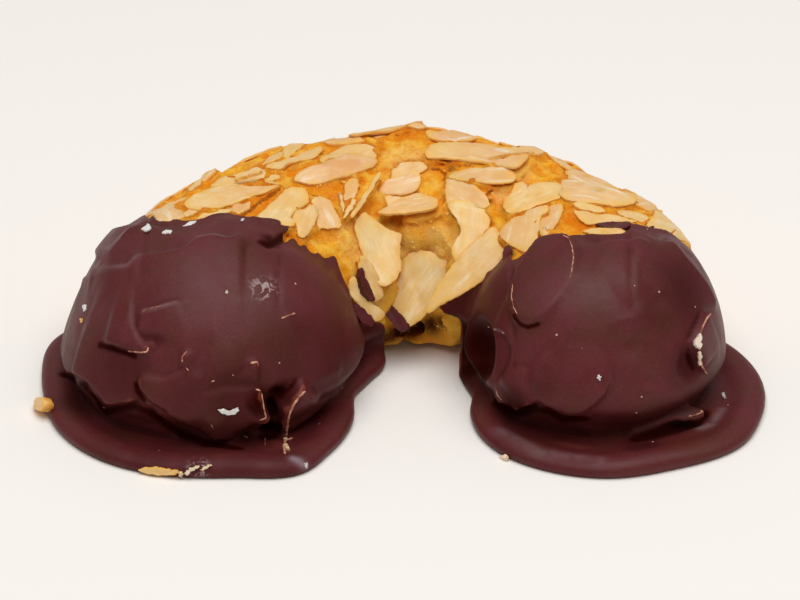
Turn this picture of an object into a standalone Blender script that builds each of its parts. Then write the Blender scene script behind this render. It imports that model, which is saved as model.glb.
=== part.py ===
"""Almond horn: a marzipan dough roll bent into a fat horseshoe, strewn with flaked almonds, both ends dipped
in dark chocolate that has run out into a foot on the baking sheet.

Frame: +X to the right and +Y to the back, as seen from the open side of the horn, +Z up, floor at Z = 0.
Every size below is in millimetres; mesh_object() turns them into metres.
"""

import math
import random
from collections import namedtuple

import bmesh
import bpy
from mathutils import Matrix, Vector

MM = 0.001

# Dough roll. Three values run from the left leg over the back to the right leg.
BEND_X, BEND_Y = 2.5, -9.5          # middle of the bend, seen from above
INNER_RADIUS = (10.6, 10.5, 9.4)    # bend middle to the inner side of the roll
OUTER_RADIUS = (60.3, 54.4, 51.8)   # bend middle to the outer side of the roll
ROLL_HEIGHT = (28.5, 29.3, 28.3)
INNER_PINCH = 2.5                   # the inner side comes closer half way to each leg
OUTER_PINCH = 1.4                   # and so does the outer side
LEG_LENGTH = 1.5                    # straight part of a leg before its round end
END_LENGTH = (23.5, 22.5)           # length of the round end, left and right
BULGE = 2.35                        # 2 gives an oval section, more gives squarer shoulders
SLACK_SHOULDER = 0.45               # the left leg's outer shoulder has that much less bulge
WIDEST_Z = 4.5                      # height at which the roll is widest
UNDERCUT = 1.6                      # how far the roll draws in below that
LEG_LIFT = 1.5                      # the dipped ends stand on chocolate this thick
LIFT_FROM_Y, LIFT_TO_Y = 9.0, -1.0
UNEVEN = 0.5                        # height of the hand-rolled unevenness
CREASE_DEPTH = 2.2                  # fold in the top of the bend where the roll was bent
CREASE_WIDTH = 5.0
CREASE_BEARING = -14                # degrees round the bend
CREASE_END = 36.0                   # how far from the bend's middle the fold runs out

# Lumps and dents of the dough: middle seen from above, how far it spreads, and its height.
Lump = namedtuple("Lump", "x y spread height")
LUMPS = [
    Lump(4.0, 25.0, 5.0, 1.0),
    Lump(-26.0, 25.0, 11.0, 2.0),
    Lump(42.0, 9.0, 9.0, 1.2),
    Lump(6.0, 4.0, 4.5, 1.4),
    Lump(14.5, -25.0, 4.5, -5.0),
    Lump(-56.0, -15.0, 6.0, -3.0),
    Lump(-50.0, 1.0, 5.0, 1.2),
    Lump(-14.0, -31.0, 4.0, -3.0),
]

# Chocolate
GAP = 0.3                           # clearance between two solids that touch
COAT = 1.8
FOOT_THICK = 2.7
FOOT_ROUNDING = 1.2

# Almond flakes
FLAKE_THICK = 1.1
FLAKE_SIDES = 11
FLAKE_SINK = 0.35                   # a flake's middle is pressed this far into the dough
FLAKE_DROOP = 0.45                  # share of the space under its rim that a flake bends down
RIM_CLEARANCE = 0.5                 # dough flakes stay this far out of the chocolate
SCATTER_SEED = 11
SCATTER_SPACING = 8.0
SCATTER_TRIES = 1600
SCATTER_ROUND = (-40, 84)           # degrees round the section, -90 at its inner side and 90 at its outer side

Flake = namedtuple("Flake", "x y heading length width lift", defaults=(0.0,))
# x, y: where the middle lies, seen from above. heading: degrees from +X to the pointed end.
SHOWN_FLAKES = [
    # left arm
    Flake(-28.5, 6.0, 22, 20, 9.0, 0.5),
    Flake(-40.5, -1.0, 190, 9, 6.0),
    Flake(-33.5, 1.0, 200, 13, 7.0),
    Flake(-20.5, 2.0, 223, 15, 8.5, 0.3),
    Flake(-16.0, -0.5, 249, 9, 6.0, 0.7),
    Flake(-12.3, 2.0, 65, 10, 8.0, 0.2),
    Flake(-11.7, 13.0, 202, 17.5, 7.5, 0.7),
    Flake(-9.5, 19.5, -10, 15, 7.0),
    Flake(-19.5, 18.5, 30, 14, 6.0, 0.3),
    Flake(-29.0, 16.5, 20, 11, 7.0),
    Flake(-35.5, 11.5, 215, 12, 6.0, 0.3),
    Flake(-49.5, 4.0, 60, 10, 6.0),
    # fold of the bend
    Flake(-0.5, 12.0, 210, 10, 6.8, 0.6),
    Flake(1.5, 7.6, 8, 12.5, 5.5),
    Flake(-4.0, 2.0, -45, 15, 9.0),
    Flake(2.2, 2.0, 250, 14, 10.0, 0.8),
    Flake(10.8, -2.4, 190, 21, 9.5, 0.8),
    Flake(14.6, 12.0, -8, 14, 6.5, 0.4),
    Flake(10.5, 8.0, -50, 12, 7.5),
    Flake(12.2, 3.2, 118, 13, 8.0, 0.3),
    # right arm
    Flake(14.0, 19.5, 170, 19.5, 7.0, 0.4),
    Flake(23.8, 5.0, 35, 12.5, 8.0, 0.4),
    Flake(33.8, 6.5, -22, 17, 8.0, 0.3),
    Flake(20.3, -4.6, 40, 12, 9.0, 0.2),
    Flake(26.0, -3.2, 230, 9, 5.5),
    Flake(34.0, -3.6, 175, 13, 5.5, 0.3),
    Flake(46.0, 0.5, -50, 15, 7.0, 0.2),
    Flake(24.5, 13.5, -30, 12, 7.0),
]
# Flakes under the chocolate, which show as plates with raised edges.
LEFT_PLATES = [
    Flake(-43.0, -28.0, -10, 15, 12, 1.2),
    Flake(-50.5, -26.0, -35, 16, 11, 0.9),
    Flake(-34.0, -33.5, 205, 16, 11, 1.2),
    Flake(-27.0, -32.5, -80, 14, 10, 1.4),
    Flake(-19.0, -29.5, 250, 16, 10, 1.0),
    Flake(-31.0, -17.0, 20, 17, 10, 0.8),
    Flake(-52.0, -12.0, 70, 15, 10, 0.8),
    Flake(-14.0, -16.0, 110, 14, 9, 0.8),
    Flake(-42.0, -15.0, 150, 15, 9, 0.7),
]
RIGHT_PLATES = [
    Flake(24.3, -19.5, 250, 19, 12, 1.7),
    Flake(28.5, -32.0, 200, 15, 12, 1.2),
    Flake(20.0, -28.5, 230, 13, 9, 1.2),
    Flake(46.0, -29.0, -15, 15, 10, 1.3),
    Flake(51.0, -20.5, 80, 14, 9, 1.3),
    Flake(38.0, -19.0, 30, 16, 10, 0.7),
    Flake(38.0, -31.5, 170, 14, 10, 0.9),
    Flake(50.0, -8.0, 110, 14, 8, 0.8),
    Flake(15.5, -16.0, 150, 14, 8, 0.8),
]

# Dip line: how far back the chocolate reaches (y) at places across each leg (x), above and near the floor.
DIP_LOW_Z, DIP_HIGH_Z = 4.0, 11.0   # between these heights one line turns into the other
Dip = namedtuple("Dip", "high low")
LEFT_DIP = Dip(
    [(-70, 9), (-52, 6), (-45, 1.5), (-40, -5), (-35, -4.5), (-30, -2.5), (-25, -4), (-21, -8.5), (-16, -6.5),
     (-12, -5), (-9, -8), (-5, -8), (2, -8)],
    [(-70, 9), (-50, 7), (-20, 1), (-5, 0), (2, 0)])
RIGHT_DIP = Dip(
    [(0, -4.5), (5, -4.5), (9, -7), (13, -10), (17, -12), (20, -14), (23, -10.5), (27, -9), (36, -9.5),
     (41, -7.5), (45, -5.5), (49, -1), (55, 4), (70, 7)],
    [(0, -4), (9, -3), (13, 0), (45, 1), (55, 6), (70, 9)])

# Foot: (bearing, reach). Bearing in degrees from straight ahead (-Y), positive towards +X.
FootShape = namedtuple("FootShape", "x y reach")
LEFT_FOOT = FootShape(-34.5, -14.5, [
    (-150, 31), (-124, 32.4), (-100, 29.0), (-84, 28.2), (-61, 28.7), (-32, 29.2), (-4, 29.8), (14, 31),
    (32, 34.4), (48, 32.0), (66, 29.2), (85, 26.8), (104, 31.0), (125, 31.5), (160, 27)])
RIGHT_FOOT = FootShape(36.0, -14.5, [
    (-145, 28), (-119, 30), (-97, 25.8), (-84, 24.4), (-70, 26.8), (-54, 29.3), (-38, 30.6), (-6, 30.1),
    (20, 28.4), (48, 28.8), (70, 27.6), (102, 27.2), (133, 26.6), (165, 26)])


def ease(t):
    """Smooth step from 0 to 1."""
    t = min(max(t, 0.0), 1.0)
    return t * t * (3 - 2 * t)


def along_bend(psi, sizes):
    """A size of the roll at psi degrees round the bend: -90 is the left leg, 0 the back, 90 the right leg."""
    left, back, right = sizes
    leg = left if psi < 0 else right
    return back + (leg - back) * ease(abs(psi) / 90)


def radii(psi):
    """Inner and outer radius of the roll at psi degrees round the bend."""
    half_way = math.sin(math.radians(2 * min(abs(psi), 90))) ** 2
    inner = along_bend(psi, INNER_RADIUS) - INNER_PINCH * half_way
    outer = along_bend(psi, OUTER_RADIUS) - OUTER_PINCH * half_way
    return inner, outer


def unevenness(x, y):
    """Height added by the lumps, the dents and the gentle waves of a roll shaped by hand."""
    waves = math.sin(x / 6.1 + 0.7) * math.sin(y / 7.3 + 1.9) + 0.7 * math.sin(x / 3.7 - y / 4.9)
    height = UNEVEN * waves
    for lump in LUMPS:
        away = math.hypot(x - lump.x, y - lump.y) / lump.spread
        height += lump.height * math.exp(-away * away)
    return height


def crease(x, y):
    """Depth of the fold that runs from the inner side of the bend over its top."""
    bearing = math.degrees(math.atan2(x - BEND_X, max(y - BEND_Y, 0.1)))
    radius = math.hypot(x - BEND_X, y - BEND_Y)
    across = math.radians(bearing - CREASE_BEARING) * radius / CREASE_WIDTH
    fading = ease((CREASE_END - radius) / 12) * ease((y - BEND_Y) / 5)
    return CREASE_DEPTH * math.exp(-across * across) * fading


def bulge(psi, across):
    """Squareness of the section on one side of the roll."""
    return BULGE - SLACK_SHOULDER * ease(across) * ease((-psi - 40) / 50)


def place_on_roll(x, y):
    """Degrees round the bend, share of the way across the roll and how far out from its spine, 1 at its widest."""
    dx, dy = x - BEND_X, y - BEND_Y
    if dy >= 0:
        psi, radius, past = math.degrees(math.atan2(dx, dy)), math.hypot(dx, dy), 0.0
    else:
        psi, radius, past = math.copysign(90, dx), abs(dx), max(-dy - LEG_LENGTH, 0.0)
    inner, outer = radii(psi)
    across = (radius - (inner + outer) / 2) / ((outer - inner) / 2)
    end = END_LENGTH[0] if dx < 0 else END_LENGTH[1]
    return psi, across, math.hypot(across, past / end), (outer - inner) / 2


def top_z(x, y, grow=0.0):
    """Height of the roll's surface above a place, with the roll grown all round; WIDEST_Z outside the roll."""
    psi, across, out, half_width = place_on_roll(x, y)
    out = min(out * half_width / (half_width + grow), 1.0)
    height = along_bend(psi, ROLL_HEIGHT) + grow + unevenness(x, y) - crease(x, y) - WIDEST_Z
    power = bulge(psi, across)
    return WIDEST_Z + height * (1 - out ** power) ** (1 / power)


def base_z(y):
    """Height of the roll's flat underside: on the floor at the back, on chocolate under the dipped ends."""
    return LEG_LIFT * ease((LIFT_FROM_Y - y) / (LIFT_FROM_Y - LIFT_TO_Y))


def surface(x, y, grow=0.0):
    """Point and outward direction of the roll's surface above a place."""
    step = 0.4
    point = Vector((x, y, top_z(x, y, grow)))
    slope_x = (top_z(x + step, y, grow) - top_z(x - step, y, grow)) / (2 * step)
    slope_y = (top_z(x, y + step, grow) - top_z(x, y - step, grow)) / (2 * step)
    return point, Vector((-slope_x, -slope_y, 1)).normalized()


def section(psi, past, grow, steps, underside):
    """Closed ring of points round the roll: psi degrees round the bend, past = 0 to 1 along a leg's round end."""
    inner, outer = radii(psi)
    half_width = (outer - inner) / 2 + grow
    middle = (inner + outer) / 2
    end = END_LENGTH[0] if psi < 0 else END_LENGTH[1]
    ahead = past * (end + grow) + (LEG_LENGTH if past > 0 else 0)
    narrowed = math.sqrt(1 - past * past)
    turn = math.radians(psi)

    def at(across, z):
        radius = middle + half_width * across
        x = BEND_X + radius * math.sin(turn)
        y = BEND_Y + radius * math.cos(turn) - ahead
        return Vector((x, y, z(x, y) if callable(z) else z))

    ring = []
    for i in range(steps + 1):
        angle = math.pi * (i / steps - 0.5)
        across = narrowed * math.copysign(abs(math.sin(angle)) ** (2 / BULGE), math.sin(angle))
        ring.append(at(across, lambda x, y: top_z(x, y, grow)))
    tuck = narrowed * (1 - (UNDERCUT - grow * 0.3) / half_width)
    for across in (tuck, tuck / 3, -tuck / 3, -tuck):
        ring.append(at(across, lambda x, y: underside(y)))
    return ring


def roll_rings(from_psi, to_psi, left_end, right_end, grow=0.0, underside=base_z, steps=16, step_deg=5.5):
    """Rings round the roll from one bearing to the other, with the round ends asked for."""
    end_steps = (0.30, 0.55, 0.75, 0.89, 0.97)
    rings = []
    if left_end:
        rings += [section(-90, past, grow, steps, underside) for past in reversed(end_steps)]
    count = max(2, round((to_psi - from_psi) / step_deg))
    bearings = [from_psi + (to_psi - from_psi) * i / count for i in range(count + 1)]
    rings += [section(psi, 0, grow, steps, underside) for psi in bearings]
    if right_end:
        rings += [section(90, past, grow, steps, underside) for past in end_steps]
    return rings


def mesh_object(name, build):
    """An object whose mesh build(bm) fills in millimetres."""
    bm = bmesh.new()
    build(bm)
    bmesh.ops.recalc_face_normals(bm, faces=bm.faces)
    mesh = bpy.data.meshes.new(name)
    bmesh.ops.transform(bm, matrix=Matrix.Scale(MM, 4), verts=bm.verts)
    bm.to_mesh(mesh)
    bm.free()
    made = bpy.data.objects.new(name, mesh)
    bpy.context.scene.collection.objects.link(made)
    return made


def loft(name, rings):
    """A closed tube through rings of equal length, capped at both ends."""
    def build(bm):
        loops = [[bm.verts.new(p) for p in ring] for ring in rings]
        for a, b in zip(loops, loops[1:]):
            for i in range(len(a)):
                j = (i + 1) % len(a)
                bm.faces.new((a[i], a[j], b[j], b[i]))
        bm.faces.new(loops[0])
        bm.faces.new(reversed(loops[-1]))
    return mesh_object(name, build)


def almond_outline(length, width, sides, broken=1.0):
    """Outline of an almond slice, pointed at +u and round at -u; broken below 1 snaps the point off."""
    fullness = 1.16
    points = []
    for i in range(sides):
        t = 2 * math.pi * (i + 0.5) / sides
        u = length / 2 * min(math.cos(t), 2 * broken - 1)
        v = width / 2 * fullness * math.sin(t) * math.sqrt(abs(math.sin(t / 2)))
        points.append((u, v))
    return points


def flake_object(name, flake, grow=0.0, under=0.0, thick=FLAKE_THICK, broken=1.0, top=None):
    """A flake lying on the roll, or on the roll grown by under. Both its faces are fans round the middle."""
    centre, up = surface(flake.x, flake.y, under)
    heading = math.radians(flake.heading)
    long_way = Vector((math.cos(heading), math.sin(heading), 0))
    long_way = (long_way - up * long_way.dot(up)).normalized()
    cross_way = up.cross(long_way)
    outline = almond_outline(flake.length + 2 * grow, flake.width + 2 * grow, FLAKE_SIDES, broken)
    low = flake.lift - FLAKE_SINK - grow
    high = flake.lift - FLAKE_SINK + thick + grow if top is None else top

    def at(u, v, w):
        flat = centre + long_way * u + cross_way * v
        under_it = flat.z - top_z(flat.x, flat.y, under)
        droop = min(max(under_it * up.z, 0), 2.5) * FLAKE_DROOP
        return flat + up * (w - droop)

    def build(bm):
        rims = []
        for w in (low, high):
            rim = [bm.verts.new(at(u, v, w)) for u, v in outline]
            middle = bm.verts.new(at(0, 0, w))
            for i in range(FLAKE_SIDES):
                bm.faces.new((rim[i], rim[(i + 1) % FLAKE_SIDES], middle))
            rims.append(rim)
        for i in range(FLAKE_SIDES):
            j = (i + 1) % FLAKE_SIDES
            bm.faces.new((rims[0][i], rims[0][j], rims[1][j], rims[1][i]))
    return mesh_object(name, build)


def smooth_value(table, x):
    """Value at x of a smooth curve through (x, value) pairs, level beyond both ends."""
    if x <= table[0][0]:
        return table[0][1]
    if x >= table[-1][0]:
        return table[-1][1]
    i = max(k for k in range(len(table) - 1) if table[k][0] <= x)
    (x0, v0), (x1, v1) = table[i], table[i + 1]
    before = table[max(i - 1, 0)]
    after = table[min(i + 2, len(table) - 1)]
    slope0 = (v1 - before[1]) / (x1 - before[0])
    slope1 = (after[1] - v0) / (after[0] - x0)
    t, span = (x - x0) / (x1 - x0), x1 - x0
    start = (2 * t - 3) * t * t * (v0 - v1) + v0
    return start + t * (1 - t) * ((1 - t) * slope0 - t * slope1) * span


def foot_reach(foot, bearing):
    """Reach of the foot at a bearing, by a closed smooth curve through its table."""
    closed = [(b + turn, reach) for turn in (-360, 0, 360) for b, reach in foot.reach]
    return smooth_value(closed, bearing)


def foot_object(name, foot, sides=44):
    """Flat pool of set chocolate with a rounded edge."""
    layers = [(-FOOT_ROUNDING, 0.0), (0.0, 0.45 * FOOT_THICK), (-0.4 * FOOT_ROUNDING, 0.85 * FOOT_THICK),
              (-2 * FOOT_ROUNDING, FOOT_THICK)]
    rings = []
    for inset, z in layers:
        ring = []
        for i in range(sides):
            bearing = 360 * i / sides - 180
            reach = foot_reach(foot, bearing) + inset
            ring.append(Vector((foot.x + reach * math.sin(math.radians(bearing)),
                                foot.y - reach * math.cos(math.radians(bearing)), z)))
        rings.append(ring)
    return loft(name, rings)


def dip_y(dip, x, z):
    """How far back the chocolate reaches at a place across the leg and a height."""
    share = min(max((z - DIP_LOW_Z) / (DIP_HIGH_Z - DIP_LOW_Z), 0), 1)
    return smooth_value(dip.low, x) * (1 - share) + smooth_value(dip.high, x) * share


def curtain_object(name, dip, reach_back=70.0, step=1.5):
    """Everything behind the dip line, as an upright block with a wavy front."""
    left, right = dip.high[0][0], dip.high[-1][0]
    count = round((right - left) / step)
    places = [left + (right - left) * i / count for i in range(count + 1)]
    rings = []
    for z in (-5.0, DIP_LOW_Z, DIP_HIGH_Z, 60.0):
        front = [(x, dip_y(dip, x, z)) for x in places]
        rings.append([Vector((x, y, z)) for x, y in front + [(right, reach_back), (left, reach_back)]])
    return loft(name, rings)


def boolean(target, tool, operation, solver="EXACT"):
    """Applies a Boolean with an object or a collection as the tool, and removes the tool."""
    modifier = target.modifiers.new(operation.lower(), "BOOLEAN")
    modifier.operation = operation
    modifier.solver = solver
    several = isinstance(tool, bpy.types.Collection)
    modifier.operand_type = "COLLECTION" if several else "OBJECT"
    if several:
        modifier.collection = tool
    else:
        modifier.object = tool
    evaluated = target.evaluated_get(bpy.context.evaluated_depsgraph_get())
    joined = bpy.data.meshes.new_from_object(evaluated)
    target.modifiers.clear()
    target.data = joined
    for used in list(tool.objects) if several else [tool]:
        bpy.data.objects.remove(used)
    if several:
        bpy.data.collections.remove(tool)


def group(name, objects):
    """A collection that holds the objects, for one Boolean."""
    made = bpy.data.collections.new(name)
    bpy.context.scene.collection.children.link(made)
    for each in objects:
        bpy.context.scene.collection.objects.unlink(each)
        made.objects.link(each)
    return made


def drop_slivers(target):
    """Takes out faces that have no area."""
    bm = bmesh.new()
    bm.from_mesh(target.data)
    bmesh.ops.dissolve_degenerate(bm, dist=0.01 * MM, edges=bm.edges)
    bm.to_mesh(target.data)
    bm.free()


def drop_scraps(target):
    """Keeps the largest connected piece of the mesh."""
    bm = bmesh.new()
    bm.from_mesh(target.data)
    left = set(bm.verts)
    pieces = []
    while left:
        piece, front = set(), [left.pop()]
        while front:
            vert = front.pop()
            piece.add(vert)
            for edge in vert.link_edges:
                other = edge.other_vert(vert)
                if other in left:
                    left.discard(other)
                    front.append(other)
        pieces.append(piece)
    largest = max(pieces, key=len)
    bmesh.ops.delete(bm, geom=[v for v in bm.verts if v not in largest], context="VERTS")
    bm.to_mesh(target.data)
    bm.free()


def finish(target, material, sharp_deg=40):
    """Gives the solid its material and smooth shading."""
    target.data.materials.clear()
    target.data.materials.append(material)
    target.data.shade_smooth()
    target.data.set_sharp_from_angle(angle=math.radians(sharp_deg))


def make_material(name, colour, roughness):
    material = bpy.data.materials.new(name)
    material.use_nodes = True
    shader = material.node_tree.nodes["Principled BSDF"]
    shader.inputs["Base Color"].default_value = (*colour, 1)
    shader.inputs["Roughness"].default_value = roughness
    shader.inputs["Metallic"].default_value = 0
    return material


def clear_of_chocolate(flake, dip):
    """Whether the flake's outline stays behind the dip line."""
    heading = math.radians(flake.heading)
    for u, v in almond_outline(flake.length, flake.width, FLAKE_SIDES):
        x = flake.x + u * math.cos(heading) - v * math.sin(heading)
        y = flake.y + u * math.sin(heading) + v * math.cos(heading)
        if y < dip_y(dip, x, top_z(x, y)) + RIM_CLEARANCE:
            return False
    return True


def scattered_flakes():
    """Flakes spread evenly over the dough that the shown ones leave bare."""
    draw = random.Random(SCATTER_SEED)
    placed = list(SHOWN_FLAKES)
    added = []
    for _ in range(SCATTER_TRIES):
        psi = draw.uniform(-80, 80)
        inner, outer = radii(psi)
        across = math.sin(math.radians(draw.uniform(*SCATTER_ROUND)))
        radius = (inner + outer) / 2 + across * (outer - inner) / 2
        x = BEND_X + radius * math.sin(math.radians(psi))
        y = BEND_Y + radius * math.cos(math.radians(psi))
        flake = Flake(x, y, draw.uniform(0, 360), draw.uniform(9, 16), draw.uniform(6, 8.5), draw.uniform(0, 0.5))
        point, _ = surface(x, y)
        near = min((point - surface(f.x, f.y)[0]).length for f in placed)
        dip = LEFT_DIP if x < BEND_X else RIGHT_DIP
        if near > SCATTER_SPACING and clear_of_chocolate(flake, dip):
            placed.append(flake)
            added.append(flake)
    return added


def rim_flakes(dip, side):
    """The shown flakes of one arm that reach over the dip line."""
    return [f for f in SHOWN_FLAKES if (f.x - BEND_X) * side > 0 and not clear_of_chocolate(f, dip)]


def make_horn(material):
    horn = loft("horn", roll_rings(-90, 90, True, True))
    flakes = [flake_object(f"flake_{i}", f) for i, f in enumerate(SHOWN_FLAKES + scattered_flakes())]
    boolean(horn, group("flakes", flakes), "UNION")
    drop_scraps(horn)
    finish(horn, material)
    return horn


def make_coat(name, side, foot, dip, plates, material):
    """One dipped end: a skin of chocolate over the end of the roll, with its foot and the flakes under it."""
    span = (-90, -35, True, False) if side < 0 else (40, 90, False, True)
    coat = loft(name, roll_rings(*span, COAT, lambda y: 0.0))
    hollow = loft(f"{name}_hollow", roll_rings(-90, 90, True, True, GAP, lambda y: base_z(y) - GAP))
    raised = [flake_object(f"{name}_plate_{i}", p, 0.3, COAT - 1.2, 1.2) for i, p in enumerate(plates)]
    boolean(coat, group(f"{name}_relief", raised + [foot_object(f"{name}_foot", foot)]), "UNION")
    boolean(coat, curtain_object(f"{name}_curtain", dip), "DIFFERENCE")
    boolean(coat, hollow, "DIFFERENCE")
    notches = [flake_object(f"{name}_notch_{i}", f, GAP, top=6.0) for i, f in enumerate(rim_flakes(dip, side))]
    if notches:
        boolean(coat, group(f"{name}_notches", notches), "DIFFERENCE", "MANIFOLD")
    drop_slivers(coat)
    drop_scraps(coat)
    finish(coat, material)
    return coat


def main():
    for old in list(bpy.data.objects):
        bpy.data.objects.remove(old)
    dough = make_material("baked_dough_with_almonds", (0.78, 0.42, 0.12), 0.7)
    chocolate = make_material("dark_chocolate", (0.10, 0.035, 0.032), 0.35)
    make_horn(dough)
    make_coat("chocolate_left", -1, LEFT_FOOT, LEFT_DIP, LEFT_PLATES, chocolate)
    make_coat("chocolate_right", 1, RIGHT_FOOT, RIGHT_DIP, RIGHT_PLATES, chocolate)


main()
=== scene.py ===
"""Looks of the almond horn: crumbly baked dough, flaked almonds and dark chocolate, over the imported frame.

Sizes are in millimetres until mesh_piece() turns them into the frame's metres. The dough and the two coats
are carved as distance fields on a fine grid, negative inside, and turned into meshes. The flakes settle on
the dough.
"""

import math
import random
from collections import namedtuple

import bpy
import numpy as np
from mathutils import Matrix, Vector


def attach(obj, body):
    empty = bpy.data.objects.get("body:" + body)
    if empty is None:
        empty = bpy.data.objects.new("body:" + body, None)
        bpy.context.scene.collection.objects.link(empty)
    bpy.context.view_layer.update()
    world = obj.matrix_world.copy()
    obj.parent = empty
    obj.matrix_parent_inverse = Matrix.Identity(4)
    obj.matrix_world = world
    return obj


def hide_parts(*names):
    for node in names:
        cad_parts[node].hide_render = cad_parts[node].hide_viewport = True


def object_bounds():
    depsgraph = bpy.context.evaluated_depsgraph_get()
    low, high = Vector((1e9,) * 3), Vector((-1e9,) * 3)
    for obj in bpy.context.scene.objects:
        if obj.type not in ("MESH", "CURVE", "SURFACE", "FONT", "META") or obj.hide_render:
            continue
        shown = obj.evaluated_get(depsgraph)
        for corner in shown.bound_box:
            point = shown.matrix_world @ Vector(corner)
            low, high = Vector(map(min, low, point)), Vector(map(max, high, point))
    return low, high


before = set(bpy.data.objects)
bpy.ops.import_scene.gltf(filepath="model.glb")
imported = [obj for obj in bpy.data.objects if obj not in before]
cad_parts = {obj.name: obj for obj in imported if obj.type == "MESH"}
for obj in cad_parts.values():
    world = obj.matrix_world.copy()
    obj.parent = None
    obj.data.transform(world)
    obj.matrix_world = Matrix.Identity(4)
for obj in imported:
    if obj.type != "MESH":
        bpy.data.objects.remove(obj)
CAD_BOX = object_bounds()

import openvdb
from mathutils import Vector

MM = 0.001
FAR = 3.0                           # distances are kept this near to the surface
NOWHERE = 1e6                       # farther than anything
TINY, LEAST_SPAN = 1e-6, 1e-3       # what a length is at least, where something is divided by it
AS_NEAR = 1e-3                      # squares of distances that differ by less count as the same
WHOLE_TURN = 6.3                    # range of a random phase
LAST_CELL = 1.001                   # keeps samples inside a grid

# Grids that the dough, the coats and the places of the hollows are worked out on
DOUGH_BOX, DOUGH_STEP = ((-65, -36, -1.5), (65, 48, 35)), 0.52
ROLL_BOX, ROLL_STEP = ((-65, -46, -1.5), (65, 20, 35)), 1.0
LEFT_BOX, RIGHT_BOX = ((-64.5, -46, -1), (-1, 12, 33)), ((0.5, -46, -1), (64.5, 12, 33))
COAT_STEP = 0.4
WAVE_GAIN = 1.9                     # brings random waves to about -1 to 1
GROUND_BLUR, RELIEF_BLUR = 3, 4     # times that a field is averaged: for flakes to lie on, for its relief

# Camera, and how pixels of the photo look out from it
CAMERA_AT = np.array((0.0, -488.6, 270.2))
CAMERA_TILT = 62
CAMERA_SHIFT = (-0.0025, 0.0025)
LENS, SENSOR = 141.8, 36.0
PHOTO_WIDTH = 800
PHOTO_CENTRE = (402, 302)
PHOTO_FOCAL = PHOTO_WIDTH * LENS / SENSOR
LOOK_FROM, LOOK_TO, LOOK_STEP = 450.0, 640.0, 0.4   # reach along a ray, from the camera

# Dough roll, with three values from the left leg over the back to the right leg
BEND_X, BEND_Y = 2.5, -9.5
INNER_RADIUS = (10.6, 10.5, 9.4)
OUTER_RADIUS = (60.3, 54.4, 51.8)
ROLL_HEIGHT = (28.5, 29.3, 28.3)
INNER_PINCH = 2.5
OUTER_PINCH = 1.4
LEG_LENGTH = 1.5
END_LENGTH = (23.5, 22.5)
BULGE = 2.35
SLACK_SHOULDER = 0.45               # how much slacker the outer shoulder of the left leg is
SLACK_FROM, SLACK_OVER = 40, 50     # degrees round the bend where that comes in
WIDEST_Z = 4.5
UNDERCUT = 1.6
BELOW_LIMIT = 1.5                   # the undercut grows down to this many times WIDEST_Z under it
LEAST_STEEP = 0.012                 # keeps distances near the spine from growing without end
LEG_LIFT = 1.5
LIFT_FROM_Y, LIFT_TO_Y = 9.0, -1.0
UNEVEN = 0.5
CREASE_DEPTH = 2.2
CREASE_WIDTH = 5.0
CREASE_BEARING = -14
CREASE_END, CREASE_FADE, CREASE_START = 36.0, 12, 5
Lump = namedtuple("Lump", "x y spread height")
LUMPS = [
    Lump(4.0, 25.0, 5.0, 1.0), Lump(-26.0, 25.0, 11.0, 0.3), Lump(42.0, 9.0, 9.0, 1.2),
    Lump(48.0, 6.0, 6.5, 1.3), Lump(-3.0, 30.0, 4.0, -0.5), Lump(6.0, 4.0, 4.5, 1.4),
    Lump(14.5, -25.0, 4.5, -5.0), Lump(-57.0, -14.0, 7.0, -4.0), Lump(-50.0, 1.0, 5.0, 1.2),
    Lump(-14.0, -31.0, 4.0, -3.0),
]

# Chocolate: its thickness, how far back it reaches across each leg, high up and low down, and each foot
COAT = 1.6
RIM_COAT = 0.9                      # thinner towards its rim
SUNK = 0.8                          # the coat's hidden inner side lies this far inside the dough
TUCK = 3.0                          # the dipped ends draw in that much above their foot
TUCK_FROM_Z, TUCK_TO_Z = 8.5, 3.5
TUCK_FROM_Y, TUCK_OVER = 2, 6
DIP_LOW_Z, DIP_HIGH_Z = 6.0, 11.0
DIP_ASIDE = 0.5                     # distance over which the slope of a dip line is taken
Dip = namedtuple("Dip", "high low")
LEFT_DIP = Dip(
    [(-70, 9), (-52, 6.5), (-45, 4.5), (-42.5, -3), (-38.5, -5.8), (-35, -5), (-30, -1.8), (-28, -2.6),
     (-25, -4.4), (-21, -4.6), (-20.2, -8), (-18.4, -6.2), (-17.6, -7.2), (-16.6, -6.0), (-15.7, -7.2),
     (-14.4, -5.6), (-13.4, -6.4), (-11.6, -4.6), (-10.4, -6.8), (-9.5, -7.8), (-8.7, -9), (-5, -9),
     (2, -8)],
    [(-70, 9), (-50, 7), (-20, 1), (-9, 1.5), (-5.5, 1.5), (-3.4, -0.5), (-2.2, -5), (2, -12)])
RIGHT_DIP = Dip(
    [(0, -12), (3, -6), (4.6, -1.2), (6.5, -2.4), (9.5, -4.3), (13.5, -6.6), (17, -7.8), (18.2, -8),
     (19, -12), (20.3, -12.2), (22.7, -8.5), (27, -10.3), (30, -9.8), (33, -11), (37.5, -10.8), (39, -6.8),
     (41.5, -6.2), (45.3, -4.5), (48, -3.8), (52, -1), (56, 4), (70, 7)],
    [(0, -16), (9.0, -14), (10.4, -2), (13, 0), (45, 1), (55, 6), (70, 9)])
FootShape = namedtuple("FootShape", "x y reach")
LEFT_FOOT = FootShape(-34.5, -14.5, [
    (-150, 31), (-124, 32.4), (-100, 28.8), (-84, 27.4), (-61, 27.4), (-32, 27.9), (-4, 28.4), (14, 29.4),
    (32, 32.6), (48, 30.6), (66, 28.6), (85, 26.6), (97, 29.3), (105, 32.6), (112, 34.0), (120, 35.5),
    (132, 32), (160, 27)])
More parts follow.
